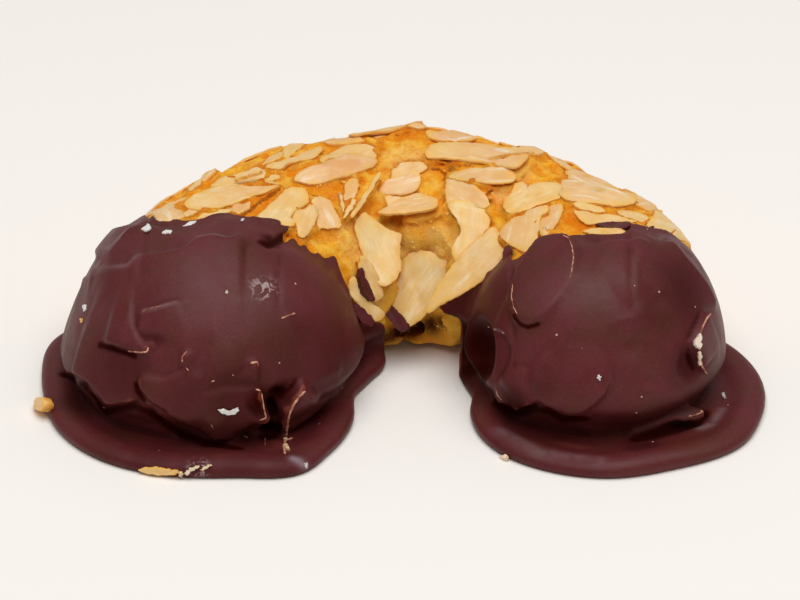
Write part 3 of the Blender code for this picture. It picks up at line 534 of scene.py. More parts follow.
# Hollows of the coated ends: pixel of the photo, depth and radius in mm
HOLLOW_BLEND = 1.4
Hollow = namedtuple("Hollow", "px py depth radius")
HOLLOWS = [
    Hollow(484, 350, 4.6, 7.6), Hollow(474, 366, 3.8, 6.4), Hollow(468, 336, 2.6, 5.0),
    Hollow(274, 394, 2.4, 3.4), Hollow(272, 408, 3.2, 3.8), Hollow(268, 425, 2.8, 3.4),
    Hollow(682, 364, 1.4, 5.0), Hollow(625, 343, 0.7, 7.0), Hollow(648, 304, 0.6, 5.0),
    Hollow(160, 341, 0.6, 4.0),
]

# Crevices, carved and darkened with painted shade: pixels of the photo along the line, and radius in mm
FURROW_END, FURROW_BLEND = 0.15, 0.5                # share of their width at both ends, and mm of edge blend
FURROW_REACH = 1.5
Crevice = namedtuple("Crevice", "line radius")
CREVICES = [
    Crevice([(64, 375), (75, 379), (85, 386), (92, 395), (100, 405), (106, 412)], 0.9),
    Crevice([(106, 412), (118, 409), (135, 406), (150, 412), (165, 423), (185, 435), (205, 443),
        (240, 449)], 0.8),
    Crevice([(100, 345), (112, 348), (124, 352), (135, 355.5)], 0.55),
    Crevice([(136, 384), (138, 391), (144, 400)], 0.4),
    Crevice([(262, 438), (272, 434), (280, 425)], 1.0),
    Crevice([(262, 243), (268, 246), (276, 242), (284, 236)], 0.8),
    Crevice([(498, 403), (508, 410), (522, 411), (535, 406), (548, 411), (562, 418), (585, 418)], 1.1),
    Crevice([(634, 440), (655, 434), (675, 428), (695, 422.5), (706, 414)], 1.1),
    Crevice([(514, 316), (519, 323), (528, 327), (538, 324)], 0.35),
]
LOW_SHADE = 0.5                     # painted shade: the coats are that much darker low down, over the foot
SHADE_TOP_Z, SHADE_FADE = 11, 5
SHADE_OVER_FOOT, SHADE_RISE = 0.8, 1.2
COAT_EDGE_FROM, COAT_RELIEF = 0.10, 0.30            # mm of relief where edges start, and for full strength
SHADE_REACH = 0.15                  # the painted shade of a crevice goes that much farther than its walls

# Areas of the dough: painted deep shade in nearly black hollows, browner crumb with painted shade of flakes,
# and paler crumb
DEEP_SHADE_SPOTS = [
    Spot(386, 338, 1.8, 1.0), Spot(393, 335, 2.0, 1.0), Spot(400, 333, 2.0, 1.0), Spot(408, 330, 2.2, 1.0),
    Spot(416, 328, 2.4, 1.0), Spot(424, 326, 2.6, 1.0), Spot(432, 324, 2.2, 1.0), Spot(440, 322, 1.6, 0.9),
    Spot(452, 169, 0.8, 0.7), Spot(489, 201, 0.8, 0.7), Spot(270, 205, 0.9, 0.5),
]
TOASTED_AND_SHADED = [
    Spot(252, 205, 4.0, 0.8), Spot(270, 203, 3.0, 0.9), Spot(326, 189, 3.0, 0.7), Spot(445, 160, 4.0, 0.9),
    Spot(494, 197, 3.0, 0.9), Spot(577, 222, 4.0, 0.8), Spot(527, 252, 2.5, 1.0), Spot(162, 202, 2.5, 0.8),
    Spot(280, 242, 2.0, 1.0), Spot(338, 145, 3.0, 0.8), Spot(420, 129, 3.5, 0.8), Spot(398, 170, 2.0, 0.4),
    Spot(432, 226, 3.0, 0.5), Spot(384, 330, 2.5, 0.7), Spot(435, 345, 5.0, 0.45), Spot(408, 222, 3.0, 0.6),
]
PALE_CRUMB = [
    Spot(405, 158, 4.0, 0.6), Spot(458, 248, 3.0, 0.8), Spot(503, 196, 2.0, 0.6), Spot(360, 254, 2.5, 0.6),
    Spot(350, 236, 3.0, 0.5), Spot(520, 172, 3.0, 0.4), Spot(376, 300, 2.0, 0.6), Spot(440, 236, 2.5, 0.6),
    Spot(402, 256, 4.5, 0.6), Spot(420, 266, 3.5, 0.6), Spot(436, 254, 3.0, 0.6),
]

# Cracks of the crust, darkened with painted shade, as pixels of the photo, and how strong
SHADED_CRACKS = [
    ([(278, 190), (266, 198), (255, 206), (246, 213), (240, 218)], 1.0),
    ([(281, 186), (290, 190), (300, 190)], 0.9),
    ([(432, 169), (440, 170), (446, 175), (444, 180)], 1.0),
    ([(446, 162), (458, 166), (470, 165)], 0.9),
    ([(466, 208), (474, 205), (483, 200), (490, 192), (496, 184)], 1.0),
    ([(505, 176), (513, 179), (519, 186)], 0.95),
    ([(307, 193), (316, 196), (325, 201), (332, 208)], 0.95),
    ([(333, 180), (341, 182), (346, 188)], 0.85),
    ([(398, 240), (404, 247), (414, 250), (426, 248), (437, 244)], 0.82),
    ([(432, 232), (440, 238), (447, 236)], 0.75),
    ([(551, 219), (549, 228), (541, 236), (532, 238)], 0.95),
    ([(288, 235), (284, 241), (276, 245)], 0.95),
    ([(386, 131), (396, 135), (408, 133), (421, 129)], 0.95),
    ([(336, 141), (346, 139), (352, 134)], 0.9),
    ([(356, 262), (362, 275), (364, 290)], 0.9),
    ([(520, 250), (526, 256), (534, 254)], 1.0),
]
CRACK_REACH = 0.95                  # mm beside a crack over which its painted shade fades

# Edges where the chocolate is thin, paler as a painted highlight where they catch the light, as pixels of
# the photo, and how strong
WornHighlit = namedtuple("WornHighlit", "line strength")
WORN_HIGHLIT_RADIUS, WORN_HIGHLIT_SIDES = 0.16, 6   # each is a thin six-sided string
WORN_HIGHLIT_PROUD = 0.08                   # its middle lies that far outside the coat
WORN_HIGHLIT_WANDER, WORN_HIGHLIT_UNEVEN = 0.3, (0.75, 1.15)
WORN_HIGHLIT_FACING = 0.8
WORN_HIGHLIT_JUMP = 1.6                     # a gap this wide in a line is left out
WORN_HIGHLIT_EDGES = [
    WornHighlit([(128, 350.5), (134, 351.5), (140, 352), (147, 351.5), (148.5, 347)], 1.0),
    WornHighlit([(187, 351), (182, 357.5), (182.5, 362)], 1.0),
    WornHighlit([(186, 367), (189, 371)], 0.6),
    WornHighlit([(250, 363), (257, 362.5), (258, 367)], 1.3),
    WornHighlit([(255, 389), (261, 391.5)], 1.2),
    WornHighlit([(261.5, 394), (263, 405), (265.5, 418), (259, 420)], 0.8),
    WornHighlit([(211, 382), (215, 380)], 0.9),
    WornHighlit([(243, 436), (248, 438)], 1.0),
    WornHighlit([(265, 438), (265, 446)], 0.8),
    WornHighlit([(211, 424), (214, 429.5)], 0.6),
    WornHighlit([(103, 407), (106, 408)], 0.6),
    WornHighlit([(281, 318.5), (288, 316), (295, 313)], 1.2),
    WornHighlit([(305, 391), (299, 397), (294, 404), (290, 412), (288, 420), (286, 437)], 1.4),
    WornHighlit([(286, 437), (284, 446), (285, 455)], 1.7),
    WornHighlit([(288, 440), (294, 438)], 1.4),
    WornHighlit([(142, 312), (150, 309), (162, 306)], 0.4),
    WornHighlit([(562, 235.5), (568, 238), (572, 247), (573.5, 258), (572, 270), (570, 279)], 0.8),
    WornHighlit([(513, 283), (511.5, 297), (514, 308), (518, 315)], 0.6),
    WornHighlit([(488, 326), (490, 327)], 1.3),
    WornHighlit([(494, 329), (497, 330)], 1.3),
    WornHighlit([(502, 332), (505, 333)], 1.5),
    WornHighlit([(496, 388), (498, 395), (502, 400)], 0.6),
    WornHighlit([(711, 313), (707, 318), (704, 324), (700, 334)], 1.1),
    WornHighlit([(700, 350), (701, 360), (702, 366), (707, 375)], 1.1),
    WornHighlit([(688, 416.5), (695, 415.5), (702, 412.5)], 1.0),
    WornHighlit([(700, 411), (703, 413)], 1.5),
]

# Painted highlights: streaks where the coats shine, as pixels of the photo
PaintedGleam = namedtuple("PaintedGleam", "line width strength")
PAINTED_GLEAMS = [
    PaintedGleam([(95, 258), (110, 247), (122, 234), (131, 226), (140, 221)], 0.5, 0.3),
    PaintedGleam([(82, 279), (92, 273), (108, 268), (127, 265), (138, 255)], 0.6, 0.15),
    PaintedGleam([(200, 236), (212, 234), (224, 236)], 0.35, 0.3),
    PaintedGleam([(143, 311), (155, 308), (176, 302)], 0.4, 0.25),
    PaintedGleam([(293, 458), (304, 465)], 0.8, 0.5),
    PaintedGleam([(672, 238), (685, 253), (700, 270)], 0.8, 0.12),
    PaintedGleam([(700, 428), (712, 424), (722, 410)], 0.8, 0.25),
    PaintedGleam([(500, 430), (540, 452), (600, 460)], 1.2, 0.15),
    PaintedGleam([(650, 236), (658, 240), (664, 236)], 0.5, 0.15),
]

# What the two coats differ in
Coat = namedtuple("Coat", "piece node box dip foot plates steps bits side seed")
COATS = [
    Coat("chocolate_coat_left", "chocolate_left", LEFT_BOX, LEFT_DIP, LEFT_FOOT, LEFT_PLATES, LEFT_STEPS,
         LEFT_BITS, -1, 21),
    Coat("chocolate_coat_right", "chocolate_right", RIGHT_BOX, RIGHT_DIP, RIGHT_FOOT, RIGHT_PLATES,
         RIGHT_STEPS, RIGHT_BITS, 1, 31),
]

# Colours, as linear red, green and blue: chocolate
CHOCOLATE, CHOCOLATE_LIGHTER = (0.102, 0.0130, 0.0140), (0.124, 0.0175, 0.0210)
CHOCOLATE_WARM, CHOCOLATE_PLUM = (0.092, 0.0200, 0.0115), (0.120, 0.0145, 0.0240)
CHOCOLATE_DARK_GRAIN, CHOCOLATE_PALE_GRAIN = (0.050, 0.0070, 0.0060), (0.170, 0.0330, 0.0330)
# painted shade: colour and reflection tint of hollows, crevices and low parts of the coats
CHOCOLATE_HOLLOW_SHADE, HOLLOW_SHADE_TINT = (0.026, 0.0018, 0.0008), (0.12, 0.015, 0.010)
# redder thin chocolate on edges, and worn edges paler as a painted highlight
CHOCOLATE_THIN, CHOCOLATE_WORN_HIGHLIT = (0.20, 0.042, 0.024), (0.62, 0.26, 0.13)
# bloom, the colour of painted highlight streaks, and specks
BLOOMED, PAINTED_SHEEN, SPECK = (0.42, 0.30, 0.30), (0.42, 0.33, 0.36), (0.55, 0.38, 0.33)
# strings along thin edges of the coats, paler as a painted highlight
WORN_HIGHLIT_DARK, WORN_HIGHLIT_PALE = (0.24, 0.055, 0.030), (0.74, 0.36, 0.22)
SPECK_SCALE, SPECK_SIZES, SPECK_CHANCE = 0.30, (0.014, 0.055), (0.55, 0.57)

# Dough
DOUGH, DOUGH_CRUMB = (0.92, 0.350, 0.006), (0.99, 0.530, 0.050)
# the last is painted shade in hollows of the crust
DOUGH_BROWN, DOUGH_DARK, DOUGH_HOLLOW_SHADE = (0.86, 0.235, 0.002), (0.50, 0.120, 0.002), (0.72, 0.190, 0.002)
DOUGH_PALE, DOUGH_EDGE, DOUGH_FOLD = (0.99, 0.60, 0.12), (0.99, 0.58, 0.10), (1.0, 0.505, 0.060)
# toasted crumb, partly painted shade of flakes; and cream crumb
DOUGH_TOASTED_AND_SHADED, DOUGH_CREAM = (0.80, 0.195, 0.002), (1.0, 0.670, 0.215)
# browned sugar with painted contact shade beside flakes, and painted shade in cracks
DOUGH_CARAMEL_AND_SHADE, DOUGH_CRACK_SHADE = (0.62, 0.135, 0.002), (0.30, 0.055, 0.002)
# painted deep shade
DOUGH_DEEP_SHADE = (0.075, 0.0110, 0.0030)
GRIT_PALE, GRIT_DARK = (1.0, 0.640, 0.130), (0.86, 0.215, 0.002)

# Almond and crumbs
CREAM, CREAM_PALE = (0.91, 0.565, 0.17), (0.95, 0.675, 0.31)
TAN, TAN_PALE = (0.82, 0.39, 0.15), (0.91, 0.56, 0.29)
FIBRE, GOLDEN = (0.82, 0.45, 0.16), (0.86, 0.42, 0.06)
ALMOND_WHITE, BIT_WHITE = (0.98, 0.86, 0.66), (0.86, 0.80, 0.76)
RIM_BROWN, RIM_SEAM = (0.92, 0.52, 0.10), (0.78, 0.30, 0.03)
FIBRE_STRETCH = (0.22, 1.2, 1.0)
CRUMB, CRUMB_GOLDEN, CRUMB_PALE = (1.0, 0.60, 0.12), (0.98, 0.40, 0.02), (1.0, 0.70, 0.22)

# Stage, in metres and watts
FLOOR_COLOUR, FLOOR_HALF = (0.965, 0.925, 0.875), 3.0
SKY_COLOUR, SKY_STRENGTH = (1.0, 0.99, 0.985), 0.33
LAMP_AT, LAMP_SIZE, LAMP_ENERGY = (0.05, -0.20, 1.1), 1.3, 10.9
CLIP_FROM, CLIP_TO = 0.05, 20


def ease(t):
    """Smooth step from 0 to 1."""
    t = np.clip(t, 0.0, 1.0)
    return t * t * (3 - 2 * t)


def unit(way):
    """A direction at length 1."""
    return way / np.linalg.norm(way)


def units(ways):
    """Rows of directions, each at length 1."""
    return ways / np.maximum(np.linalg.norm(ways, axis=1, keepdims=True), TINY)


def along_bend(psi, sizes):
    """A size of the roll at psi degrees round the bend: -90 is the left leg, 0 the back, 90 the right."""
    left, back, right = sizes
    leg = np.where(psi < 0, left, right)
    return back + (leg - back) * ease(np.abs(psi) / 90)


def radii(psi):
    """Inner and outer radius of the roll at psi degrees round the bend."""
    half_way = np.sin(np.radians(2 * np.minimum(np.abs(psi), 90))) ** 2
    inner = along_bend(psi, INNER_RADIUS) - INNER_PINCH * half_way
    outer = along_bend(psi, OUTER_RADIUS) - OUTER_PINCH * half_way
    return inner, outer


def unevenness(x, y):
    """Height added by the lumps, the dents and the gentle waves of a roll shaped by hand."""
    height = UNEVEN * (np.sin(x / 6.1 + 0.7) * np.sin(y / 7.3 + 1.9) + 0.7 * np.sin(x / 3.7 - y / 4.9))
    for lump in LUMPS:
        away = np.hypot(x - lump.x, y - lump.y) / lump.spread
        height = height + lump.height * np.exp(-away * away)
    return height


def crease(x, y):
    """Depth of the fold that runs from the inner side of the bend over its top."""
    bearing = np.degrees(np.arctan2(x - BEND_X, np.maximum(y - BEND_Y, 0.1)))
    radius = np.hypot(x - BEND_X, y - BEND_Y)
    across = np.radians(bearing - CREASE_BEARING) * radius / CREASE_WIDTH
    depth = CREASE_DEPTH * np.exp(-across * across)
    return depth * ease((CREASE_END - radius) / CREASE_FADE) * ease((y - BEND_Y) / CREASE_START)


def place_on_roll(x, y):
    """Degrees round the bend, share of the way across the roll, how far out from its spine, half width."""
    dx, dy = x - BEND_X, y - BEND_Y
    behind = dy >= 0
    psi = np.where(behind, np.degrees(np.arctan2(dx, np.maximum(dy, 0))), np.where(dx < 0, -90, 90))
    radius = np.where(behind, np.hypot(dx, dy), np.abs(dx))
    past = np.where(behind, 0, np.maximum(-dy - LEG_LENGTH, 0))
    inner, outer = radii(psi)
    half_width = (outer - inner) / 2
    across = (radius - (inner + outer) / 2) / half_width
    end = np.where(dx < 0, *END_LENGTH)
    return psi, across, np.hypot(across, past / end), half_width


def base_z(y):
    """Height of the roll's flat underside."""
    return LEG_LIFT * ease((LIFT_FROM_Y - y) / (LIFT_FROM_Y - LIFT_TO_Y))


def smooth_value(table, x):
    """Values at x of a smooth curve through (x, value) pairs, level beyond both ends."""
    places = np.array([p for p, _ in table], dtype=float)
    values = np.array([v for _, v in table], dtype=float)
    last = len(places) - 1
    x = np.clip(x, places[0], places[-1])
    i = np.clip(np.searchsorted(places, x, side="right") - 1, 0, last - 1)
    before, after = np.maximum(i - 1, 0), np.minimum(i + 2, last)
    x0, x1, v0, v1 = places[i], places[i + 1], values[i], values[i + 1]
    slope0 = (v1 - values[before]) / (x1 - places[before])
    slope1 = (values[after] - v0) / (places[after] - x0)
    span = x1 - x0
    t = (x - x0) / span
    start = (2 * t - 3) * t * t * (v0 - v1) + v0
    return start + t * (1 - t) * ((1 - t) * slope0 - t * slope1) * span


# Distance fields


class Block:
    """A box of space on a regular grid. x, y and z broadcast against each other."""

    def __init__(self, low, high, step):
        """A grid from the low corner to the high one."""
        self.low = np.array(low, dtype=np.float32)
        self.step = step
        self.shape = tuple(int(math.ceil((h - l) / step)) + 1 for l, h in zip(low, high))
        axes = [self.low[i] + step * np.arange(self.shape[i], dtype=np.float32) for i in range(3)]
        self.x, self.y, self.z = axes[0][:, None, None], axes[1][None, :, None], axes[2][None, None, :]

    def window(self, low, high):
        """Slices of the grid that cover a box, and the grid's coordinates there."""
        first = [max(int((low[i] - self.low[i]) / self.step), 0) for i in range(3)]
        last = [min(int((high[i] - self.low[i]) / self.step) + 2, self.shape[i]) for i in range(3)]
        if any(b <= a for a, b in zip(first, last)):
            return None
        cut = tuple(slice(a, b) for a, b in zip(first, last))
        return cut, (self.x[cut[0]], self.y[:, cut[1]], self.z[:, :, cut[2]])

    def sample(self, field, points):
        """The field's values at points, between the grid's own."""
        at = (np.asarray(points) - self.low) / self.step
        at = np.clip(at, 0, np.array(self.shape) - LAST_CELL)
        i = at.astype(int)
        f = at - i
        total = 0
        for corner in range(8):
            side = [(corner >> k) & 1 for k in range(3)]
            weight = np.prod([f[:, k] if side[k] else 1 - f[:, k] for k in range(3)], axis=0)
            total = total + weight * field[i[:, 0] + side[0], i[:, 1] + side[1], i[:, 2] + side[2]]
        return total

    def lean(self, field, points, reach):
        """Outward direction of the field at points, over the given reach."""
        points = np.asarray(points)
        parts = []
        for k in range(3):
            shift = np.zeros(3)
            shift[k] = reach
            parts.append(self.sample(field, points + shift) - self.sample(field, points - shift))
        return units(np.stack(parts, axis=1))


def spline_weights(axis, size, shift):
    """How much each lattice point counts at each place along an axis, as a cubic B-spline."""
    at = (axis - axis[0]) / size + shift
    first = np.floor(at).astype(int)
    t = (at - first).astype(np.float32)
    weights = np.zeros((len(at), first.max() + 4), dtype=np.float32)
    rows = np.arange(len(at))
    parts = ((1 - t) ** 3, 3 * t ** 3 - 6 * t ** 2 + 4, -3 * t ** 3 + 3 * t ** 2 + 3 * t + 1, t ** 3)
    for k, part in enumerate(parts):
        weights[rows, first + k] = part / 6
    return weights


def waves(block, size, seed):
    """Smooth random waves of a given size over the block, mostly between -1 and 1."""
    draw = np.random.default_rng(seed)
    shift = draw.random(3)
    wx = spline_weights(block.x.ravel(), size, shift[0])
    wy = spline_weights(block.y.ravel(), size, shift[1])
    wz = spline_weights(block.z.ravel(), size, shift[2])
    lattice = draw.uniform(-1, 1, (wx.shape[1], wy.shape[1], wz.shape[1])).astype(np.float32)
    part = np.tensordot(lattice, wz, axes=(2, 1))
    part = np.tensordot(wy, part, axes=(1, 1))
    part = np.tensordot(wx, part, axes=(1, 1))
    return part * WAVE_GAIN


def smooth_min(a, b, blend):
    """Union of two fields, with the groove between them filled over the given width."""
    share = np.maximum(blend - np.abs(a - b), 0) / blend
    return np.minimum(a, b) - share * share * blend / 4


def smooth_max(a, b, blend):
    """Common part of two fields, with the edge between them rounded over the given width."""
    return -smooth_min(-a, -b, blend)


def kept_near(field):
    """The field's distances, kept near to its surface."""
    return np.clip(field, -FAR, FAR)


def blurred(field, times):
    """The field averaged with its neighbours, so many times."""
    for _ in range(times):
        for axis in range(3):
            ends = np.take(field, [0, -1], axis=axis)
            first, last = np.split(ends, 2, axis=axis)
            padded = np.concatenate([first, field, last], axis=axis)
            n = field.shape[axis]
            a = np.take(padded, range(n), axis=axis)
            b = np.take(padded, range(2, n + 2), axis=axis)
            field = 0.5 * field + 0.25 * (a + b)
    return field


def hollow_spots():
    """Middles and radii of the balls that are taken out of the roll for the hollows."""
    rough = Block(*ROLL_BOX, ROLL_STEP)
    even = plain_roll_distance(rough)
    places = on_surface(rough, even, [(h.px, h.py) for h in HOLLOWS])
    outward = rough.lean(even, places, COAT_FACING)
    return [(place + away * (h.radius - h.depth), h.radius)
            for place, away, h in zip(places, outward, HOLLOWS)]


def ball(block, middle, radius):
    """Distance from a ball."""
    away = (block.x - middle[0]) ** 2 + (block.y - middle[1]) ** 2 + (block.z - middle[2]) ** 2
    return np.sqrt(away) - radius


def roll_distance(block):
    """Distance from the even surface of the roll with its hollows, without its flat underside."""
    even = plain_roll_distance(block)
    for middle, radius in hollow_spots():
        even = smooth_max(even, -ball(block, middle, radius), HOLLOW_BLEND)
    return even.astype(np.float32)


def plain_roll_distance(block):
    """Distance from the even surface of the roll, without its hollows and its flat underside."""
    psi, across, out, half_width = place_on_roll(block.x, block.y)
    top = along_bend(psi, ROLL_HEIGHT) + unevenness(block.x, block.y) - crease(block.x, block.y)
    slack = SLACK_SHOULDER * ease(across) * ease((-psi - SLACK_FROM) / SLACK_OVER)
    power = (BULGE - slack).astype(np.float32)
    rise = np.maximum(block.z - WIDEST_Z, 0) / (top - WIDEST_Z).astype(np.float32)
    below = np.clip(1 - block.z / WIDEST_Z, 0, BELOW_LIMIT)
    tucked = out.astype(np.float32) * (1 + (UNDERCUT / half_width).astype(np.float32) * below ** 2)
    level = (tucked ** power + rise ** power) ** (1 / power)
    steep = np.sqrt(sum(g * g for g in np.gradient(level, block.step)))
    tuck = TUCK * ease((TUCK_FROM_Z - block.z) / (TUCK_FROM_Z - TUCK_TO_Z))
    tuck = tuck * ease((TUCK_FROM_Y - block.y) / TUCK_OVER)
    return ((level - 1) / np.maximum(steep, LEAST_STEEP) + tuck).astype(np.float32)


def foot_distance(block, foot):
    """Distance from the pool of chocolate round an end: a flat cake, round at its edge, with a valley."""
    dx, dy = block.x - foot.x, block.y - foot.y
    radius = np.hypot(dx, dy)
    bearing = np.degrees(np.arctan2(dx, -dy))
    closed = [(b + turn, reach) for turn in (-360, 0, 360) for b, reach in foot.reach]
    reach = smooth_value(closed, bearing)
    slope = smooth_value(closed, bearing + FOOT_TURN) - smooth_value(closed, bearing - FOOT_TURN)
    slope = slope / (2 * math.radians(FOOT_TURN)) / np.maximum(reach, 1)
    plan = (radius - reach) / np.sqrt(1 + slope * slope)
    top = FOOT_THICK - VALLEY_DEPTH * ease((-plan - VALLEY_FROM) / VALLEY_OVER)
    for height, size, phase in FOOT_WAVES:
        top = top + height * np.sin(bearing / size + phase)
    over = np.maximum(plan + FOOT_EDGE, 0) / FOOT_EDGE
    above = (block.z - FOOT_WIDEST_Z) / (top - FOOT_WIDEST_Z)
    under = (FOOT_WIDEST_Z - block.z) / FOOT_UNDER
    rise = np.where(block.z > FOOT_WIDEST_Z, above, under)
    return ((np.hypot(over, rise) - 1) * (FOOT_THICK - FOOT_WIDEST_Z)).astype(np.float32)


def dip_distance(block, dip):
    """How far behind the dip line a place lies."""
    share = np.clip((block.z - DIP_LOW_Z) / (DIP_HIGH_Z - DIP_LOW_Z), 0, 1)
    low, high = smooth_value(dip.low, block.x), smooth_value(dip.high, block.x)
    slope = smooth_value(dip.high, block.x + DIP_ASIDE) - smooth_value(dip.high, block.x - DIP_ASIDE)
    slope = slope / (2 * DIP_ASIDE)
    return (block.y - low * (1 - share) - high * share) / np.sqrt(1 + slope * slope)


# Places seen in the photo


def pixel_rays(pixels):
    """Directions from the camera through pixels of the photo."""
    pixels = np.asarray(pixels, dtype=float)
    right = (pixels[:, 0] - PHOTO_CENTRE[0]) / PHOTO_FOCAL
    up = (PHOTO_CENTRE[1] - pixels[:, 1]) / PHOTO_FOCAL
    down_share, ahead_share = math.cos(math.radians(CAMERA_TILT)), math.sin(math.radians(CAMERA_TILT))
    return units(np.stack([right, ahead_share + down_share * up, ahead_share * up - down_share], axis=1))


def on_surface(block, field, pixels):
    """Where the rays through pixels first meet the field's surface, or come nearest to it."""
    reach = np.arange(LOOK_FROM, LOOK_TO, LOOK_STEP)
    found = []
    for ray in pixel_rays(pixels):
        values = block.sample(field, CAMERA_AT + reach[:, None] * ray)
        inside = np.nonzero(values < 0)[0]
        if len(inside) and inside[0] > 0:
            outer, inner = values[inside[0] - 1], values[inside[0]]
            away = reach[inside[0]] - LOOK_STEP * inner / (inner - outer)
        else:
            away = reach[int(np.argmin(values))]
        found.append(CAMERA_AT + away * ray)
    return np.array(found)


def rounded_outline(corners):
    """A closed curve with rounded corners, as evenly spaced points."""
    points = np.array(corners, dtype=float)
    for _ in range(2):
        after = np.roll(points, -1, axis=0)
        leaving = (1 - CORNER_CUT) * points + CORNER_CUT * after
        arriving = CORNER_CUT * points + (1 - CORNER_CUT) * after
        points = np.stack([leaving, arriving], axis=1).reshape(-1, 2)
    ring = np.vstack([points, points[:1]])
    along = np.append(0, np.cumsum(np.linalg.norm(np.diff(ring, axis=0), axis=1)))
    at = np.linspace(0, along[-1], OUTLINE_POINTS, endpoint=False)
    return np.stack([np.interp(at, along, ring[:, k]) for k in (0, 1)], axis=1)


# Flakes


def almond_outline(length, width, cuts, seed):
    """Outline of an almond slice, pointed at +u and round at -u, a little uneven, with straight breaks."""
    draw = random.Random(seed)
    wobble = [(draw.uniform(0.0, ALMOND_UNEVEN), draw.uniform(0, WHOLE_TURN), k) for k in ALMOND_WAVES]
    points = []
    for i in range(ALMOND_POINTS):
        t = 2 * math.pi * (i + 0.5) / ALMOND_POINTS
        uneven = 1 + sum(size * math.sin(k * t + phase) for size, phase, k in wobble)
        u = math.cos(t) * uneven
        v = ALMOND_FULLNESS * math.sin(t) * math.sqrt(abs(math.sin(t / 2))) * uneven
        for bearing, share in cuts:
            a = math.radians(bearing)
            ragged = BREAK_RAGGED * math.sin(7 * (u - v) + bearing)
            over = u * math.cos(a) + v * math.sin(a) - share - ragged
            if over > 0:
                u, v = u - over * math.cos(a), v - over * math.sin(a)
        points.append((u * length / 2, v * width / 2))
    return np.array(points)


def outline_distance(outline, u, v):
    """Signed distance in the plane from an outline, negative inside."""
    nearest = np.full(np.broadcast(u, v).shape, NOWHERE, dtype=np.float32)
    inside = np.zeros(nearest.shape, dtype=bool)
    for (au, av), (bu, bv) in zip(outline, np.roll(outline, -1, axis=0)):
        eu, ev = bu - au, bv - av
        pu, pv = u - au, v - av
        t = np.clip((pu * eu + pv * ev) / max(eu * eu + ev * ev, 1e-9), 0, 1)
        nearest = np.minimum(nearest, (pu - t * eu) ** 2 + (pv - t * ev) ** 2)
        if av != bv:
            crosses = (av > v) != (bv > v)
            inside ^= crosses & (u < au + (v - av) * eu / ev)
    return np.where(inside, -np.sqrt(nearest), np.sqrt(nearest))


class Lying:
    """A flake in its place: middle, three directions, outline and how it curves."""

    def __init__(self, middle, along, facing, outline, flake, index):
        """A flat flake that points along one direction and faces another. Its index seeds its own draws."""
        self.middle = np.array(middle, dtype=float)
        self.face(np.array(facing, dtype=float), np.array(along, dtype=float))
        self.outline = outline
        self.flake = flake
        self.index = index
        self.curve_u = self.curve_v = 0.0
        self.thick = FLAKE_THICK * random.Random(index).uniform(*THICK_RANGE)

    def face(self, facing, along):
        """Turns the flake to a facing, and to point as nearly along a direction as that allows."""
        self.w = unit(facing)
        self.u = unit(along - self.w * along.dot(self.w))
        self.v = np.cross(self.w, self.u)

    def place(self, u, v, w):
        """Points in space at flat coordinates of the flake."""
        w = w + self.curve_u * u * u + self.curve_v * v * v
        return self.middle + u[:, None] * self.u + v[:, None] * self.v + w[:, None] * self.w

    def turn(self, tilt, roll):
        """Lifts the pointed end by tilt and the left edge by roll, in radians."""
        self.u = unit(self.u + math.tan(tilt) * self.w)
        side = np.cross(self.w, self.u) + math.tan(roll) * self.w
        self.w = unit(np.cross(self.u, side))
        self.v = np.cross(self.w, self.u)

    def lift(self, height):
        """Moves the flake outward."""
        self.middle = self.middle + self.w * height

    def levels(self, x, y, z):
        """How far beside the flake's outline and above its middle places are."""
        dx, dy, dz = x - self.middle[0], y - self.middle[1], z - self.middle[2]
        u, v, w = ((dx * way[0] + dy * way[1] + dz * way[2]).astype(np.float32)
                   for way in (self.u, self.v, self.w))
        w = w - self.curve_u * u * u - self.curve_v * v * v
        return outline_distance(self.outline, u, v), w

    def add_to(self, block, field, thick, grow=0.0, blend=0.0):
        """Joins the flake as a curved plate to a field. Gives back what hold() needs."""
        reach = np.abs(self.outline).max() + grow + blend + 3 * block.step + 1
        found = block.window(self.middle - reach, self.middle + reach)
        if found is None:
            return None
        cut, places = found
        beside, w = self.levels(*places)
        over = np.abs(w) - thick / 2
        outside = np.hypot(np.maximum(beside, 0), np.maximum(over, 0))
        added = outside + np.minimum(np.maximum(beside, over), 0) - grow
        if blend:
            field[cut] = smooth_min(field[cut], added, blend)
        else:
            field[cut] = np.minimum(field[cut], added)
        return cut, beside, w


def hold(bed, ground, crust, place):
    """Brings dough up under a flake and beside it, no higher over the ground than HOLD_RISE."""
    cut, beside, w = place
    rough = crust[cut]
    near_rim = np.exp(-(beside / HOLD_REACH) ** 2)
    top = w - (HOLD_ROUGH * rough - HOLD_SETBACK) * near_rim + HOLD_BELOW
    held = np.maximum(beside - HOLD_BESIDE - HOLD_RAGGED * rough, top)
    held = np.maximum(held, -w - HOLD_DEPTH)
    held = np.maximum(held, ground[cut] - HOLD_RISE)
    bed[cut] = smooth_min(bed[cut], held, HOLD_BLEND)


def settle(lying, block, field, smooth, share):
    """Tilts, bends and lifts a flake so that it lies on the field as a thin brittle slice does."""
    reach_u, reach_v = SETTLE_ALONG * lying.flake.length, SETTLE_ACROSS * lying.flake.width
    for _ in range(3):
        ends = lying.middle + np.array([reach_u * lying.u, -reach_u * lying.u,
                                        reach_v * lying.v, -reach_v * lying.v, 0 * lying.u])
        front, back, left, right, middle = kept_near(block.sample(smooth, ends))
        tilt = math.atan2((back - front) * SETTLE_TURN, 2 * reach_u)
        lying.turn(tilt, math.atan2((right - left) * SETTLE_TURN, 2 * reach_v))
        lying.curve_u += SETTLE_BEND * (2 * middle - front - back) / 2 / reach_u ** 2
        lying.curve_v += SETTLE_BEND * (2 * middle - left - right) / 2 / reach_v ** 2
        lying.curve_u = float(np.clip(lying.curve_u, *CURVE_ALONG))
        lying.curve_v = float(np.clip(lying.curve_v, *CURVE_ACROSS))
        rest_on(lying, block, field, share)


